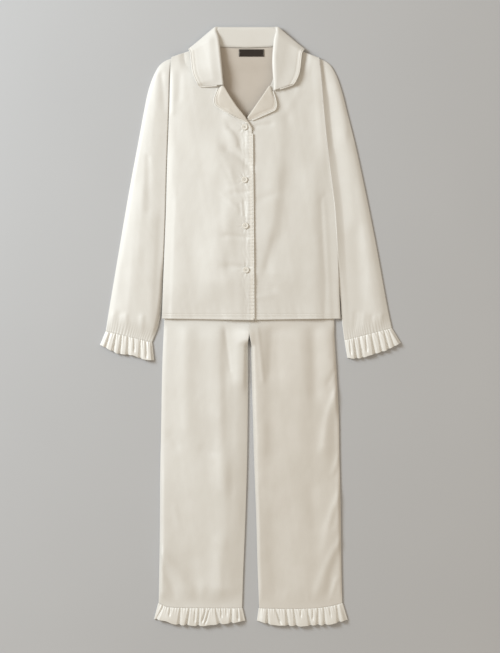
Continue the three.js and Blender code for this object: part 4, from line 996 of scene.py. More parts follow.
SATIN = woven("satin_cloth", (0.795, 0.785, 0.757), (0.77, 0.756, 0.722), 0.54, 0.06, level=0.5,
              lustre=0.1)
# A darker satin: painted shade that darkens the whole front of the left leg.
SATIN_LEG_SHADE = woven("satin_leg_painted_shade", (0.755, 0.73, 0.69), (0.725, 0.70, 0.655), 0.56, 0.06, level=0.5,
                     lustre=0.08)
# A lighter satin: painted light that brightens the ruffles.
SATIN_RUFFLE_LIT = woven("satin_ruffle_painted_light", (0.86, 0.85, 0.82), (0.83, 0.815, 0.78), 0.5, 0.06, level=0.5,
                       lustre=0.1)
# Wrong side of the satin: duller than the face, and darker and warmer as painted shade for the recessed
# inside of the neck.
SATIN_INSIDE_SHADE = woven("satin_inside_painted_shade", (0.61, 0.555, 0.495), (0.58, 0.527, 0.466), 0.6, 0.1)
# A darker satin for the lapels: painted shade over their whole face.
SATIN_LAPEL_SHADE = woven("satin_lapel_painted_shade", (0.72, 0.68, 0.62), (0.69, 0.65, 0.59), 0.52, 0.06, level=0.4,
                     lustre=0.08)
CORD = woven("piping_cloth", (0.87, 0.85, 0.81), (0.83, 0.81, 0.765), 0.45, 0.1, weave=0.45, turn=1.2)
THREAD = woven("thread", (0.80, 0.765, 0.695), (0.73, 0.69, 0.61), 0.5, 0.1, weave=0.3, patch=200.0)
PEARL = pearl_material("pearl_shell")
LABEL_CLOTH = woven("label_weave", (0.030, 0.021, 0.015), (0.022, 0.015, 0.011), 0.6, 0.1, weave=0.5,
                    depth=0.1, turn=0.0, level=0.3)


def show_shaded_inside(piece):
    """Gives the upward faces of a piece the wrong side of the satin: its duller gloss is real, its darker,
    warmer colour is painted shade of the recessed neck opening.
    """
    mesh = piece.data
    mesh.materials.append(SATIN_INSIDE_SHADE)
    for face in mesh.polygons:
        if face.normal.z > 0.2:
            face.material_index = 1


def bind_edge(piece, grid, columns):
    """Gives the last columns of a panel the cloth of the piping that is sewn to it."""
    mesh = piece.data
    mesh.materials.append(CORD)
    wide = grid.shape[1] - 1
    faces = (grid.shape[0] - 1) * wide
    for face in mesh.polygons[:2 * faces]:
        if face.index % faces % wide >= wide - columns:
            face.material_index = 1


# Shirt back and fronts.

def side_row(side_y, column):
    return row_at(SIDES, "y", side_y)[column]


def back_grid():
    along = shares_between((0, 0.02, 4), (0.02, 0.97, 120), (0.97, 1, 6))[:, None]
    share = shares_between((0, 0.01, 3), (0.01, 0.99, 76), (0.99, 1, 3))[None, :]
    top_x = mix(-157, 136, share)
    y = mix(SHIRT_HEM_Y + 1, row_at(TOP_LINE, "x", top_x)["y"], along)
    row = row_at(SIDES, "y", mix(SHIRT_HEM_Y + 1, 539, along))
    x = mix(row["left"], row["right"], share)
    return stack(x, y, back_top(x, y))


def placket_detail(x, y, from_edge):
    """Puckers that the sewing pulls into the closing edge, and round the buttonholes."""
    beat = y / TICK_EVERY + 0.35 * np.sin(y / 23.0) + 0.2 * np.sin(y / 9.7)
    tick = np.maximum(0, np.cos(2 * math.pi * beat)) ** 4
    uneven = 0.75 + 0.25 * np.sin(y / 31.0 + 1.0)
    ticks = -1.15 * tick * uneven * np.exp(-((from_edge / 8.5) ** 2))
    band = 0.6 * (1 - smooth(8, 15, from_edge))
    tucks = 0.16 * ripple(x, y, 26, 7, 0.15, 3.0) * np.exp(-(((from_edge - 14) / 11) ** 2))
    around = np.zeros_like(x)
    for button_x, button_y in BUTTONS:
        away = np.hypot(x - button_x, y - button_y)
        angle = np.arctan2(y - button_y, x - button_x)
        ring = np.exp(-(((away - 10.5) / 4.2) ** 2))
        spokes = np.sin(7 * angle + button_y) + 0.5 * np.sin(11 * angle + 2 * button_y)
        around += 0.22 * ring * spokes - 0.5 * np.exp(-((away / 8.0) ** 2))
    held = smooth(415, 395, y)
    return (ticks + band + tucks) * held + around * held


def right_front_top(x, y, edge_x):
    return upper_front_top(x, y) + placket_detail(x, y, np.maximum(0, edge_x - x))


def front_grid(rows, column, at, share, height):
    row = row_at(rows, "at", at[:, None])
    side_x = side_row(row["sideY"], column)
    x = mix(side_x, row["edgeX"], share[None, :])
    y = mix(row["sideY"], row["edgeY"], share[None, :])
    return stack(x, y, height(x, y, row["edgeX"]))


def seat_under(x, y, z):
    """Keeps a front panel clear of the shirt's back."""
    return np.maximum(z, back_top(x, y) + GAP + WALL)


def turn_down(grid, below):
    """Turns the left front's side edge down into its seam with the sleeve."""
    level = grid[:, 3, 2]
    low = np.minimum(level, below(grid[:, 0, 1]) + GAP + WALL)
    side = grid[:, 0, 0].copy()
    for column, (out, share) in enumerate(((1.5, 1), (1.3, 0.75), (0.8, 0.35))):
        grid[:, column, 0] = side + out
        grid[:, column, 2] = mix(level, low, share)


def make_shirt():
    back = panel_below("cloth_back", back_grid(), WALL, SATIN)
    # The inside of the back, seen through the neck opening, gets the darker satin as painted shade.
    show_shaded_inside(back)
    at = shares_between((0, 16, 16), (16, 395, 330), (395, 538, 72))
    share = shares_between((0, 0.012, 3), (0.012, 0.86, 54), (0.86, 0.99, 24), (0.99, 1, 3))
    grid = front_grid(RIGHT_FRONT, "left", at, share, right_front_top)
    grid[..., 2] = seat_under(grid[..., 0], grid[..., 1], grid[..., 2])
    right = panel_below("cloth_front_right", grid, WALL, SATIN)
    bind_edge(right, grid, 7)
    at = shares_between((0, 16, 18), (16, 390, 150), (390, 538, 66))
    share = shares_between((0, 0.012, 3), (0.012, 0.98, 74), (0.98, 1, 4))
    grid = front_grid(LEFT_FRONT, "right", at, share, lambda x, y, edge: under_front_top(x, y))
    grid[..., 2] = seat_under(grid[..., 0], grid[..., 1], grid[..., 2])
    turn_down(grid, lambda y: SLEEVE_SEAM_Z + armhole_fold(1.5, y))
    left = panel_below("cloth_front_left", grid, WALL, SATIN)
    return back, right, left


# Tubes of cloth: sleeves and ruffles.

EDGE_ANGLES = np.radians([-45, 0, 45])


def tube_grid(place, top, under, top_shares, under_shares, rows):
    """Ring grid of a flattened tube: the folded edge, over the top, the other edge, and back under.

    place(row, share) gives x and y; top and under give heights. The folded edges are rounded.
    """
    row = rows[:, None]
    parts = []
    for share, hand in ((0.0, -1), (1.0, 1)):
        x, y = place(row, np.array([[share]]))
        x_in, y_in = place(row, np.array([[0.5]]))
        out_x, out_y = x - x_in, y - y_in
        size = np.hypot(out_x, out_y)
        half = top(row, np.array([[share]])) / 2
        angle = EDGE_ANGLES[None, :] if hand < 0 else EDGE_ANGLES[None, ::-1]
        out = 1.3 * np.cos(angle)
        parts.append(stack(x + out_x / size * out, y + out_y / size * out, half * (1 + np.sin(angle))))
    x, y = place(row, top_shares[None, :])
    over = stack(x, y, top(row, top_shares[None, :]))
    x, y = place(row, under_shares[None, :])
    below = stack(x, y, under(row, under_shares[None, :]))
    return np.concatenate([parts[0], over, parts[1], below], axis=1)


def armhole_wide(y):
    return mix(mix(18, 15, smooth(335, 365, y)), 8, smooth(450, 505, y))


def armhole_fold(outside, y):
    """The left sleeve falls from its seam into a hollow beside the armhole."""
    wide = armhole_wide(y)
    held = smooth(0.1, 1.6, outside) * (1 - np.clip((outside - 2) / (wide - 2), 0, 1)) ** 1.3
    hollow = -0.5 * np.exp(-(((outside - wide) / (0.7 * wide)) ** 2))
    strength = mix(0.25, 0.72, smooth(40, 200, y)) + 0.28 * smooth(320, 380, y)
    return (ARMHOLE_FALL * held + hollow) * strength


def armhole_lift(x, inward, y):
    """The left front rises to meet the sleeve at the armhole seam."""
    return np.where(x > SHIRT_AXIS_X, 2 * np.exp(-((inward / 12) ** 2)) * smooth(310, 380, y), 0)


def sleeve_rise(rows, outside, y):
    """How the sleeve rises from its seam: at once on the right, past the hollow on the left."""
    if rows is LEFT_SLEEVE:
        start = armhole_wide(y) - 4
        return smooth(start, start + 60, outside) * (LEFT_SLEEVE_PUFF / SLEEVE_PUFF)
    return 0.66 * smooth(0.3, 2.0, outside) + 0.34 * smooth(0, 46, outside)


def sleeve_top(rows, at, share):
    row = row_at(rows, "at", at)
    x = mix(row["outX"], row["inX"], share)
    y = mix(row["outY"], row["inY"], share)
    length = np.hypot(row["outX"] - row["inX"], row["outY"] - row["inY"])
    from_outer = share * length
    from_inner = (1 - share) * length
    outside = -side_distance(x, y)
    tucked = SLEEVE_TUCKED * swell(from_outer / 12) * swell(from_inner / 12)
    outer_round, inner_round = (26, 26) if rows is LEFT_SLEEVE else (44, 8)
    shape = swell(from_outer / outer_round) * swell(from_inner / inner_round)
    shape = shape * sleeve_rise(rows, outside, y)
    creases = folds_at(SLEEVE_FOLDS, x, y) * swell(from_outer / 14) * swell(from_inner / 14)
    creases = creases * smooth(2, 20, outside)
    if rows is LEFT_SLEEVE:
        creases = creases + armhole_fold(outside, y)
    soft = 0.18 * ripple(x, y, 120, 36, -0.12, 5.0) + 0.07 * ripple(x, y, 50, 16, 0.3, 6.0)
    near_cuff = smooth(11.0, 11.9, at)
    gathers = 0.35 * near_cuff * np.sin(share * 2 * math.pi * 19 + 3 * np.sin(share * 9))
    loose = TUBE_EDGE + tucked + SLEEVE_PUFF * shape + (creases + soft * shape)
    loose = np.maximum(loose, TUBE_EDGE + 0.4 * tucked)
    shown = mix(loose, seam_top(share), smooth(11, 12, at))
    return shown + gathers * swell(from_outer / 10) * swell(from_inner / 10)


def make_sleeve(name, rows):
    def place(at, share):
        row = row_at(rows, "at", at)
        return mix(row["outX"], row["inX"], share), mix(row["outY"], row["inY"], share)

    at = shares_between((0, 5, 62), (5, 11, 132), (11, 12, 30))
    over = shares_between((0, 0.03, 3), (0.03, 0.97, 62), (0.97, 1, 3))
    under = np.linspace(1, 0, 11)
    grid = tube_grid(
        place, lambda at, share: sleeve_top(rows, at, share), lambda at, share: 0 * (at + share),
        over, under, at,
    )
    return tube_ring(name, grid, WALL, SATIN)


def crease_depth(creases, x, down, seam_to_edge):
    """How deep the ruffle's creases are at an x and a share of the way from seam to edge."""
    depth = np.zeros_like(x)
    for index in range(len(creases["seam"])):
        line = mix(creases["seam"][index], creases["edge"][index], down)
        wide = creases["wide"][index] * mix(0.55, 1.0, down)
        start = creases["start"][index]
        end = creases["end"][index]
        held = smooth(start - 0.12, start + 0.1, down)
        if end < 1:
            held = held * (1 - smooth(end - 0.2, end + 0.1, down))
        depth = np.maximum(depth, creases["deep"][index] * held * np.exp(-(((x - line) / wide) ** 2)))
    return depth


def make_ruffle(name, rows, seam_point, creases, under_waves, long_waves):
    def place(down, share):
        held = np.clip(share, 0, 1)
        row = row_at(rows, "at", held)
        seam_x, seam_y = seam_point(row, held)
        x = mix(seam_x, row["edgeX"], down)
        y = mix(seam_y, row["edgeY"], down)
        lobes = crease_depth(creases, x, down + 0 * x, None)
        wander = 0.5 * np.sin(share * long_waves * 2.1) + 0.35 * np.sin(share * long_waves * 5.3 + 1)
        return x, y + down**2 * (1.3 * lobes + 0.8 * wander - 0.4)

    def top(down, share):
        x, _ = place(down, share)
        creased = crease_depth(creases, x, down + 0 * x, None)
        edge = smooth(0, 0.05, share) * smooth(0, 0.05, 1 - share)
        puff = down**0.55
        crest = WAVE_CREST - 0.4 - 1.0 * np.sin(share * long_waves * 1.7 + 0.5) ** 2
        high = mix(seam_top(share), mix(TUBE_EDGE + 0.6, crest, edge), puff)
        low = mix(seam_top(share) - 0.9, mix(TUBE_EDGE + 0.2, WAVE_VALLEY, edge), puff)
        gathers = 0.3 * np.sin(share * 2 * math.pi * 3.1 * long_waves + 4 * np.sin(share * 7))
        gathers = gathers * np.exp(-((down / 0.35) ** 2)) * edge
        curl = -0.7 * edge * smooth(0.8, 1.0, down)
        return mix(high, low, creased) + gathers + curl

    def under(down, share):
        return UNDER_WAVE * down * np.abs(np.sin(math.pi * under_waves * share))

    down = shares_between((0, 0.1, 3), (0.1, 0.94, 13), (0.94, 1, 3))
    over = shares_between((0, 1, int(34 * long_waves)))
    below = np.linspace(1, 0, under_waves * 8 + 1)
    grid = tube_grid(place, top, under, over, below, down)
    # The ruffles get the lighter satin, which paints light onto them.
    return tube_ring(name, grid, WALL, SATIN_RUFFLE_LIT)


def leg_seam(leg):
    def point(row, share):
        edge = row_at(leg, "y", row["seamY"])
        return mix(edge["side"], edge["inner"], share), row["seamY"] - GAP

    return point


def cuff_seam(sleeve):
    def point(row, share):
        x = mix(sleeve["outX"][-1], sleeve["inX"][-1], share)
        return x, mix(sleeve["outY"][-1], sleeve["inY"][-1], share) - 1.1 * GAP

    return point


# Legs and waistband.

def leg_front_top(leg, x, y, share):
    edge = row_at(leg, "y", y)
    from_side = np.abs(x - edge["side"])
    inner = np.abs(x - edge["inner"])
    from_inner = np.where(y > -4, LEG_WIDE_ROUND, inner + LEG_WIDE_ROUND * smooth(-40, -4, y))
    pressed = smooth(14, -30, y)
    air = mix(LEG_PRESSED_AIR, LEG_AIR, pressed) * mix(1, HEM_AIR, smooth(-360, -510, y))
    if leg is RIGHT_LEG:
        shape = swell(from_side / LEG_WIDE_ROUND) * swell(from_inner / LEG_ROUND)
    else:
        shape = swell(from_side / LEG_TIGHT_ROUND) * swell(from_inner / LEG_TIGHT_ROUND)
        shape = shape * mix(0.5, 1, smooth(30, 110, from_side))
    near = swell(from_side / 8) * swell(from_inner / 10)
    creases = folds_at(LEG_FOLDS, x, y) * near * smooth(10, -14, y)
    soft = 0.16 * ripple(x, y, 170, 44, 0.1, 7.0) + 0.06 * ripple(x, y, 60, 18, -0.2, 8.0)
    above = 0.25 * np.exp(-(((y + 548) / 11) ** 2)) * ripple(x, y, 40, 9, 0.0, 9.0)
    loose = LEG_EDGE + np.maximum(0, air * shape + creases + (soft + above) * near * pressed)
    return mix(loose, seam_top(share) - GAP / 2, smooth(-520, -558, y))


def leg_grid(leg, hem, stops, shares, height):
    share = shares[None, :]
    level = stops[:, None]
    dip = row_at(hem, "at", share)["seamY"] + 554
    y = level + dip * smooth(-480, -554, level)
    edge = row_at(leg, "y", y)
    x = mix(edge["side"], edge["inner"], share)
    return stack(x, y, height(x, y, share))


def make_leg(hand, leg, hem, finish):
    stops = -shares_between((554, 540, 8), (540, -24, 196), (-24, -197 + GAP, 24))
    shares = shares_between((0, 0.02, 4), (0.02, 0.98, 66), (0.98, 1, 4))
    grid = leg_grid(leg, hem, stops, shares, lambda x, y, share: leg_front_top(leg, x, y, share))
    front = panel_below(f"cloth_leg_front_{hand}", grid, WALL, finish)
    stops = -shares_between((554, 0, 60), (0, -197 + GAP, 20))
    shares = shares_between((0, 0.02, 3), (0.02, 0.98, 20), (0.98, 1, 3))

    def back_height(x, y, share):
        return CLOTH + 0 * x

    grid = leg_grid(leg, hem, stops, shares, back_height)
    back = panel_below(f"cloth_leg_back_{hand}", grid, CLOTH, SATIN)
    return front, back


def make_waistband():
    def place(y, share):
        return mix(-WAIST_HALF, WAIST_HALF - 3, share) + 0 * y, y + 0 * share

    def top(y, share):
        level = mix(WAIST_TOP_Z - 0.4, WAIST_TOP_Z, swell(np.minimum(share, 1 - share) * 10))
        return level - 0.35 * np.abs(np.sin(share * math.pi * 46)) + 0 * y

    y = np.linspace(WAIST_BOTTOM_Y, WAIST_TOP_Y, 9)
    over = np.linspace(0, 1, 230)
    below = np.linspace(1, 0, 20)
    grid = tube_grid(place, top, lambda y, share: 0 * (y + share), over, below, y)
    return tube_ring("cloth_waistband", grid, 1.6, SATIN)


# Collar and lapels.

def collar_rows(at, hand):
    """Cross-sections of the collar, one for each at: seam, up the stand, over the roll, down the fall."""
    row = row_at(COLLAR, "at", at)
    drop = COLLAR_DROP_LEFT * (1 - smooth(0, 4, at)) if hand > 0 else 0 * at
    lift = COLLAR_LIFT_LEFT * (1 - smooth(0, 1.5, at)) if hand > 0 else 0 * at
    spread = COLLAR_SPREAD_LEFT * (1 - smooth(0, 3, at)) if hand > 0 else 0 * at
    narrow = COLLAR_NARROW_LEFT if hand > 0 else 0

    def place(half, y):
        return stack(SHIRT_AXIS_X + hand * half, y, 0 * half)

    seam = place(row["seamHalf"] + spread, row["seamY"] - drop)
    fold = place(row["foldHalf"] + spread, row["foldY"] - drop)
    edge = place(row["edgeHalf"] - narrow * (1 - smooth(3, 5, at)), row["edgeY"] + lift)
    on = np.clip(row["on"], 0, 1)
    clear = REST + COLLAR_CLOTH / 2

    def resting(point):
        return front_top(point[..., 0], point[..., 1]) + clear

    seam[:, 2] = mix(row["seamZ"], resting(seam), on)
    edge[:, 2] = mix(row["edgeZ"], resting(edge), on)
    towards = unit((fold - edge) * np.array([1, 1, 0]))
    outward = stack(towards[:, 1] * hand, -towards[:, 0] * hand, 0 * at)
    turn = np.radians(row["turn"])[:, None]
    swing = outward * np.sin(turn) + np.array([0, 0, 1]) * np.cos(turn)
    roll = row["roll"][:, None]
    wide_roll = roll * mix(1, ROLL_SPREAD if hand > 0 else 1.2, on)[:, None]
    centre = fold - towards * wide_roll
    centre[:, 2] = mix(row["foldZ"], seam[:, 2] + 0.6 + row["roll"], on)
    points = []
    start = centre - swing * roll
    for share in np.linspace(0, 1, 9)[:-1]:
        points.append(mix(seam, start, share))
    for angle in np.linspace(0, math.pi, 15):
        points.append(centre - swing * roll * math.cos(angle) + towards * wide_roll * math.sin(angle))
    finish = points[-1]
    size = np.linalg.norm(edge - finish, axis=1)
    lie = smooth(-0.6, 0.3, at) if hand > 0 else smooth(-0.4, 0.9, at)
    for share in shares_between((0.03, 0.94, 30), (0.94, 1, 4)):
        point = mix(finish, edge, share)
        held = on > 0.5
        point[held, 2] = np.maximum(point[held, 2], resting(point[held]))
        from_edge = size * (1 - share)
        if hand > 0:
            belly = 1.1 * math.sin(math.pi * share) * swell(from_edge / 16)
        else:
            belly = COLLAR_HUMP_RIGHT * smooth(0, 20, size * share) * swell(from_edge / 34)
        belly = belly * on * lie
        seam_dent = -0.4 * on * np.exp(-(((from_edge - 6.0) / 1.5) ** 2))
        ease = 0.1 * on * ripple(point[:, 0], point[:, 1], 90, 30, 0.2, 2.0) * swell(from_edge / 10)
        curl = COLLAR_CURL_LEFT if hand > 0 else COLLAR_CURL_RIGHT
        curl = curl * on * lie * (1 - swell(from_edge / 34))
        point[:, 2] += belly + seam_dent + ease + curl
        points.append(point)
    return np.stack(points, axis=1)


def collar_grid():
    at = shares_between((0, 1, 14), (1, 8, 80), (8, 10, 24))
    right = collar_rows(at, -1)
    left = collar_rows(at[:-1], 1)[::-1]
    return np.concatenate([right, left]), np.concatenate([at, at[:-1][::-1]])


def beside_edge(rim, inside, floor):
    """A line just off a free edge, clear of what lies below it."""
    run = unit(np.gradient(rim, axis=0))
    out = rim - inside
    out = unit(out - run * (out * run).sum(axis=1, keepdims=True))
    centre = rim + out * (GAP + 0.1 + PIPING_RADIUS)
    lowest = floor(centre[:, 0], centre[:, 1]) + PIPING_RADIUS + REST
    centre[:, 2] = np.maximum(centre[:, 2], lowest)
    return centre


def make_collar():
    grid, at = collar_grid()
    collar = panel_about("cloth_collar", grid, COLLAR_WALL, SATIN)
    bind_edge(collar, grid, 4)
    end = grid.shape[1] - 1
    leaf = range(end - 28, end, 3)
    rim = np.concatenate([grid[0, leaf], grid[:, end], grid[-1, leaf][::-1]])
    inside = np.concatenate([grid[4, leaf], grid[:, end - 3], grid[-5, leaf][::-1]])
    held = np.clip(row_at(COLLAR, "at", at)["on"], 0, 1)
    ones = np.ones(len(leaf))
    held = np.concatenate([ones, held, ones])

    def floor(x, y):
        return mix(-REST, front_top(x, y), held)

    line = even_line(beside_edge(rim, inside, floor), 1.4, 3)
    cord = cord_mesh("cord_collar", line, PIPING_RADIUS, CORD, bead=0.10, bead_every=6.0)
    return collar, cord, grid, at


def lapel_grid(lapel, front, top, hand, count):
    at = np.linspace(lapel["at"][0], lapel["at"][-1], count)
    row = row_at(lapel, "at", at)
    base = row_at(front, "at", at)
    ahead = row_at(front, "at", at + 4)
    behind = row_at(front, "at", at - 4)
    roll = stack(base["edgeX"], base["edgeY"], 0 * at)
    edge = stack(row["edgeX"], row["edgeY"], 0 * at)
    run = unit(stack(ahead["edgeX"] - behind["edgeX"], ahead["edgeY"] - behind["edgeY"], 0 * at))
    inward = stack(run[:, 1], -run[:, 0], 0 * at)
    inward = np.where(inward[:, :1] * hand > 0, -inward, inward)
    reach = np.linalg.norm(roll - edge, axis=1)
    centre = roll + inward * (GAP + LAPEL_ROLL_OUT * smooth(4, 24, reach)[:, None])
    size = np.minimum(LAPEL_ROLL, 0.45 + reach / 6)
    centre[:, 2] = top(base["edgeX"], base["edgeY"]) - CLOTH / 2 + size
    size = size[:, None]
    up = np.array([0, 0, 1.0])
    points = []
    for angle in np.linspace(0, math.pi, 13):
        points.append(centre + inward * size * math.sin(angle) - up * size * math.cos(angle))
    finish = points[-1]
    clear = REST + CLOTH / 2
    edge[:, 2] = top(edge[:, 0], edge[:, 1]) + clear
    for share in shares_between((0.05, 0.92, 24), (0.92, 1, 4)):
        point = mix(finish, edge, share)
        point[:, 2] = np.maximum(point[:, 2], top(point[:, 0], point[:, 1]) + clear)
        from_edge = reach * (1 - share)
        belly = 0.8 * math.sin(math.pi * share) * swell(from_edge / 12) * swell(reach / 20)
        seam_dent = -0.35 * np.exp(-(((from_edge - 5.5) / 1.4) ** 2)) * smooth(8, 18, reach)
        ease = 0.13 * ripple(point[:, 0], point[:, 1], 50, 18, 0.6, 3.3) * swell(from_edge / 8)
        curl = LAPEL_CURL * (1 - swell(from_edge / 26)) * smooth(8, 24, reach)
        point[:, 2] += belly + seam_dent + ease * smooth(4, 16, reach) + curl
        points.append(point)
    return np.stack(points, axis=1)


def make_lapel(hand_name, lapel, front, top, hand):
    grid = lapel_grid(lapel, front, top, hand, 90)
    # The lapel gets the darker satin as painted shade.
    piece = panel_about(f"cloth_lapel_{hand_name}", grid, WALL, SATIN_LAPEL_SHADE)
    bind_edge(piece, grid, 3)
    rim = grid[8:, -1]
    middle = grid[len(grid) // 3, 14]
    inside = np.stack([stack(middle[0], middle[1], z) for z in rim[:, 2]])
    line = even_line(beside_edge(rim, inside, top), 1.3, 3)
    cord = cord_mesh(f"cord_lapel_{hand_name}", line, PIPING_RADIUS, CORD, bead=0.1, bead_every=6.0)
    return piece, cord, grid


# Front piping, buttons and label.

def make_front_piping():
    at = np.linspace(2, 372, 320)
    row = row_at(RIGHT_FRONT, "at", at)
    z = right_front_top(row["edgeX"] - 0.5, row["edgeY"], row["edgeX"]) - CLOTH / 2 + 0.5
    line = stack(row["edgeX"] + GAP + PIPING_RADIUS, row["edgeY"], z)
    return cord_mesh("cord_front", even_line(line, 0.9, 3), PIPING_RADIUS, CORD, bead=0.2,
                     bead_every=TICK_EVERY)


def lathe(profile, sides, x, y, z):
    """Points and faces of a closed round body from (radius, height) pairs, top centre to under centre."""
    points = [(x, y, z + profile[0][1])]
    for radius, height in profile[1:-1]:
        for side in range(sides):
            angle = 2 * math.pi * side / sides
            points.append((x + radius * math.cos(angle), y + radius * math.sin(angle), z + height))
    points.append((x, y, z + profile[-1][1]))
    faces = []
    rings = len(profile) - 2
    for side in range(sides):
        after = (side + 1) % sides
        faces.append([0, 1 + side, 1 + after])
        for ring in range(rings - 1):
            a = 1 + ring * sides
            faces.append([a + side, a + sides + side, a + sides + after, a + after])
        low = 1 + (rings - 1) * sides
        faces.append([low + side, len(points) - 1, low + after])
    return points, faces


def bar(start, end, radius, arch, sides=8, steps=9):
    """Points and faces of a short arched thread between two points."""
    start = np.array(start, float)
    end = np.array(end, float)
    run = unit(end - start)
    across = unit(np.cross(run, np.array([0, 0, 1.0])))
    points = []
    for step in range(steps):
        share = step / (steps - 1)
        centre = mix(start, end, share)
        centre = centre + np.array([0, 0, arch * math.sin(math.pi * share) ** 0.6])
        for side in range(sides):
            angle = 2 * math.pi * side / sides
            lift = np.array([0, 0, math.sin(angle)])
            points.append(centre + radius * (across * math.cos(angle) + lift))
    faces = []
    for step in range(steps - 1):
        for side in range(sides):
            a = step * sides + side
            b = step * sides + (side + 1) % sides
            faces.append([a, b, b + sides, a + sides])
    faces.append(list(reversed(range(sides))))
    faces.append([(steps - 1) * sides + side for side in range(sides)])
    return points, faces


def joined(parts):
    points = []
    faces = []
    for part_points, part_faces in parts:
        faces += [[index + len(points) for index in face] for face in part_faces]
        points += [tuple(point) for point in part_points]
    return points, faces


def cut_holes(piece, cutter):
    """Takes the cutter out of the piece for good."""
    change = piece.modifiers.new("holes", "BOOLEAN")
    change.operation = "DIFFERENCE"
    change.solver = "EXACT"
    change.object = cutter
    bpy.context.view_layer.update()
    shape = piece.evaluated_get(bpy.context.evaluated_depsgraph_get())
    mesh = bpy.data.meshes.new_from_object(shape)
    piece.modifiers.clear()
    old = piece.data
    piece.data = mesh
    bpy.data.meshes.remove(old)
    bpy.data.objects.remove(cutter)
    mesh.polygons.foreach_set("use_smooth", [True] * len(mesh.polygons))
    mesh.set_sharp_from_angle(angle=math.radians(35))


def make_button(number, spot):
    box_low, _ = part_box(f"button_{number}")
    x, y = spot
    z = box_low.z / MM
    rim = BUTTON_RADIUS
    top = BUTTON_THICK
    profile = [
        (0, 0.8 * top), (2.2, 0.8 * top), (3.3, 0.82 * top), (4.1, 0.88 * top), (4.7, 0.96 * top),
        (5.3, top), (5.9, 0.96 * top), (rim - 0.15, 0.8 * top), (rim, 0.55 * top),
        (rim - 0.1, 0.3 * top), (rim - 0.6, 0.1 * top), (rim - 1.6, 0), (0, 0),
    ]
    points, faces = lathe(profile, 56, x, y, z)
    button = body(f"button_shell_{number}", points, faces, PEARL)
    holes = []
    turn = 0.15 * number
    for quarter in range(4):
        angle = math.pi * (0.25 + 0.5 * quarter) + turn
        hole_x = x + BUTTON_HOLE_OUT * math.cos(angle)
        hole_y = y + BUTTON_HOLE_OUT * math.sin(angle)
        holes.append((hole_x, hole_y))
    cutters = []
    for hole_x, hole_y in holes:
        drill = [(0, top + 1), (BUTTON_HOLE * 0.8, top + 1), (BUTTON_HOLE * 0.8, -1), (0, -1)]
        cutters.append(lathe(drill, 14, hole_x, hole_y, z))
    cutter_points, cutter_faces = joined(cutters)
    cutter = body("drills", cutter_points, cutter_faces, PEARL)
    cut_holes(button, cutter)
    threads = []
    deep = z + 0.3
    level = z + 0.8 * top + 0.15
    for first, second in ((0, 1), (3, 2)):
        for shift in (-0.22, 0.22):
            a = (holes[first][0] + shift, holes[first][1] + shift, level)
            b = (holes[second][0] + shift, holes[second][1] + shift, level)
            threads.append(bar(a, b, 0.2, 0.25))
        for hole in (first, second):
            threads.append(bar((holes[hole][0], holes[hole][1], deep), (*holes[hole], level + 0.2), 0.32, 0))
    thread_points, thread_faces = joined(threads)
    thread = body(f"button_thread_{number}", thread_points, thread_faces, THREAD)
    return button, thread


def make_label():
    x = np.linspace(LABEL["left"], LABEL["right"], 60)[None, :]
    y = np.linspace(LABEL["bottom"], LABEL["top"], 24)[:, None]
    wave = 0.12 * np.sin(x / 9.0) * np.sin(y / 5.0)
    z = back_top(x, y) + GAP + LABEL_THICK + wave
    label = panel_below("cloth_label", stack(x + 0 * y, y + 0 * x, z), LABEL_THICK, LABEL_CLOTH)
    rows = []
    for side in (LABEL["left"] + 1.2, LABEL["right"] - 1.2):
        line_y = np.linspace(LABEL["bottom"] + 0.5, LABEL["top"] - 0.5, 20)
        line_x = side + 0 * line_y
        height = lambda px, py: back_top(px, py) + GAP + LABEL_THICK + 0.1
        rows.append(surface_line(line_x, line_y, height))
    sewing = stitches("label_stitches", rows, THREAD, length=1.3, space=1.9, thick=0.2)
    return label, sewing


# Sewing lines on the cloth.

def make_stitches(collar, at, lapels):
    rows = []
    for line_y in HEM_SEWING:
        x = np.linspace(-172, 8, 170)
        rows.append(surface_line(x, line_y + 0 * x, upper_front_top))
        x = np.linspace(13.5, 176, 150)
        rows.append(surface_line(x, line_y + 0 * x, under_front_top))
    hem = stitches("hem_stitches", rows, THREAD)
    rows = []
    normals = grid_normals(collar)
    lay = normals * np.sign(normals[len(at) // 4, -8, 2])
    edge = collar[:, -1]
    for inset in (5.0, 7.2):
        line = []
        up = []
        for index in range(len(collar)):
            if row_at(COLLAR, "at", at[index])["on"] < 0.6:
                continue
            from_edge = np.linalg.norm(collar[index] - edge[index], axis=1)[::-1]
            column = [np.interp(inset, from_edge, collar[index, ::-1, axis]) for axis in range(3)]
            tip = [np.interp(inset, from_edge, lay[index, ::-1, axis]) for axis in range(3)]
            side = 0 if index < len(at) // 2 else 1
            line.append((side, np.array(column) + np.array(tip) * COLLAR_WALL * 0.5))
            up.append(np.array(tip))
        for side in (0, 1):
            chosen = [k for k, (hand, _) in enumerate(line) if hand == side]
            chosen = [k for k in chosen if k % 2 == 0]
            rows.append((np.array([line[k][1] for k in chosen]), np.array([up[k] for k in chosen])))
    fall = stitches("collar_stitches", rows, THREAD)
    rows = []
    for grid in lapels:
        normals = grid_normals(grid)
        lay = normals * np.sign(normals[len(grid) // 2, -8, 2])
        line = []
        up = []
        for index in range(18, len(grid), 2):
            from_edge = np.linalg.norm(grid[index] - grid[index, -1], axis=1)[::-1]
            column = [np.interp(5.2, from_edge, grid[index, ::-1, axis]) for axis in range(3)]
            tip = [np.interp(5.2, from_edge, lay[index, ::-1, axis]) for axis in range(3)]
            line.append(np.array(column) + np.array(tip) * WALL * 0.5)
            up.append(np.array(tip))
        rows.append((np.array(line), np.array(up)))
    revers = stitches("lapel_stitches", rows, THREAD)
    return hem, fall, revers


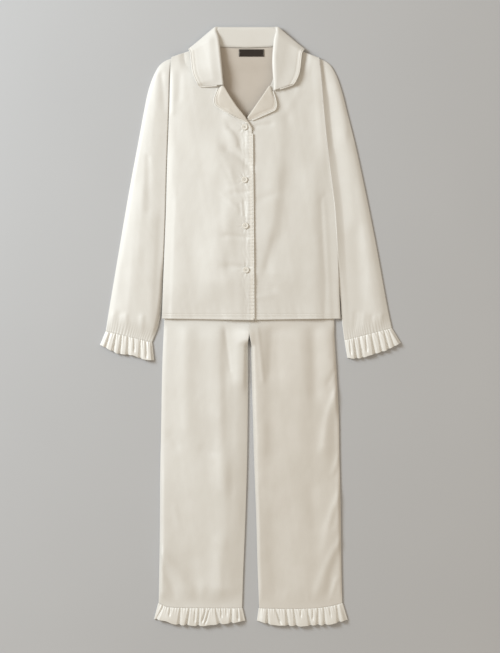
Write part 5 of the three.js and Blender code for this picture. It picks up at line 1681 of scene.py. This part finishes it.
def make_scene():
    back, right, left = make_shirt()
    sleeve_right = make_sleeve("cloth_sleeve_right", RIGHT_SLEEVE)
    sleeve_left = make_sleeve("cloth_sleeve_left", LEFT_SLEEVE)
    cuff_right = make_ruffle("cloth_cuff_ruffle_right", RIGHT_CUFF, cuff_seam(RIGHT_SLEEVE),
                             RIGHT_CUFF_CREASES, CUFF_UNDER_WAVES, 6)
    cuff_left = make_ruffle("cloth_cuff_ruffle_left", LEFT_CUFF, cuff_seam(LEFT_SLEEVE),
                            LEFT_CUFF_CREASES, CUFF_UNDER_WAVES, 6)
    leg_front_right, leg_back_right = make_leg("right", RIGHT_LEG, RIGHT_HEM, SATIN)
    # The left leg's front gets the darker satin as painted shade.
    leg_front_left, leg_back_left = make_leg("left", LEFT_LEG, LEFT_HEM, SATIN_LEG_SHADE)
    hem_right = make_ruffle("cloth_hem_ruffle_right", RIGHT_HEM, leg_seam(RIGHT_LEG),
                            RIGHT_HEM_CREASES, HEM_UNDER_WAVES, 10)
    hem_left = make_ruffle("cloth_hem_ruffle_left", LEFT_HEM, leg_seam(LEFT_LEG),
                           LEFT_HEM_CREASES, HEM_UNDER_WAVES, 10)
    waistband = make_waistband()
    collar, collar_cord, collar_points, collar_at = make_collar()
    lapel_right, lapel_right_cord, right_points = make_lapel(
        "right", RIGHT_LAPEL, RIGHT_FRONT, upper_front_top, -1)
    lapel_left, lapel_left_cord, left_points = make_lapel(
        "left", LEFT_LAPEL, LEFT_FRONT, under_front_top, 1)
    front_cord = make_front_piping()
    label, label_sewing = make_label()
    hem_sewing, collar_sewing, lapel_sewing = make_stitches(
        collar_points, collar_at, (right_points, left_points))

    pieces = [
        (back, "satin", ["shirt_back"]),
        (right, "satin", ["shirt_front_right"]),
        (left, "satin", ["shirt_front_left"]),
        (sleeve_right, "satin", ["sleeve_right"]),
        (sleeve_left, "satin", ["sleeve_left"]),
        (cuff_right, "satin", ["cuff_ruffle_right"]),
        (cuff_left, "satin", ["cuff_ruffle_left"]),
        (leg_front_right, "satin", ["leg_front_right"]),
        (leg_front_left, "satin", ["leg_front_left"]),
        (leg_back_right, "satin", ["leg_back_right"]),
        (leg_back_left, "satin", ["leg_back_left"]),
        (hem_right, "satin", ["hem_ruffle_right"]),
        (hem_left, "satin", ["hem_ruffle_left"]),
        (waistband, "satin", ["waistband"]),
        (collar, "satin", ["collar"]),
        (collar_cord, "piping", ["piping_collar"]),
        (lapel_right, "satin", ["lapel_right"]),
        (lapel_right_cord, "piping", ["piping_lapel_right"]),
        (lapel_left, "satin", ["lapel_left"]),
        (lapel_left_cord, "piping", ["piping_lapel_left"]),
        (front_cord, "piping", ["piping_front"]),
        (label, "label", ["neck_label"]),
        (label_sewing, "satin", []),
        (hem_sewing, "satin", []),
        (collar_sewing, "satin", []),
        (lapel_sewing, "satin", []),
    ]
    for number, spot in enumerate(BUTTONS, start=1):
        button, thread = make_button(number, spot)
        pieces.append((button, "button", [f"button_{number}"]))
        pieces.append((thread, "satin", []))
    for piece, slot, nodes in pieces:
        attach(piece, "root")
        if nodes:
            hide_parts(*nodes)


make_scene()


# Floor, lights and camera.

def make_floor():
    mesh = bpy.data.meshes.new("floor")
    half = 6.0
    level = -0.0004
    corners = [(-half, -half, level), (half, -half, level), (half, half, level), (-half, half, level)]
    mesh.from_pydata(corners, [], [(0, 1, 2, 3)])
    floor = bpy.data.objects.new("floor", mesh)
    bpy.context.scene.collection.objects.link(floor)
    mesh.materials.append(floor_material("floor_paint"))


def aim(thing, target):
    direction = Vector(target) - thing.location
    thing.rotation_euler = direction.to_track_quat("-Z", "Y").to_euler()


def add_area(name, place, target, size, power, colour):
    data = bpy.data.lights.new(name, "AREA")
    data.shape = "SQUARE"
    data.size = size
    data.energy = power
    data.color = colour
    light = bpy.data.objects.new(name, data)
    light.location = place
    aim(light, target)
    bpy.context.scene.collection.objects.link(light)


def make_studio():
    scene = bpy.context.scene
    scene.view_settings.view_transform = "Standard"
    scene.view_settings.look = "None"
    world = bpy.data.worlds.new("studio")
    world.use_nodes = True
    sky = world.node_tree.nodes["Background"]
    sky.inputs["Color"].default_value = (1.0, 0.86, 0.68, 1)
    sky.inputs["Strength"].default_value = 0.49
    scene.world = world
    add_area("key", (-2.4, 1.3, 1.98), (0, 0, 0), 1.3, 92, (0.875, 0.95, 1.0))
    add_area("fill", (1.4, -1.6, 3.2), (0, 0, 0), 2.5, 10, (1.0, 0.95, 0.88))

    lens = 100.0
    sensor = 36.0
    picture_height = 1.306
    cloth_level = 0.008
    data = bpy.data.cameras.new("camera")
    data.lens = lens
    data.sensor_width = sensor
    data.sensor_fit = "AUTO"
    camera = bpy.data.objects.new("camera", data)
    camera.location = (0, 0, picture_height * lens / sensor + cloth_level)
    scene.collection.objects.link(camera)
    scene.camera = camera


make_floor()
make_studio()
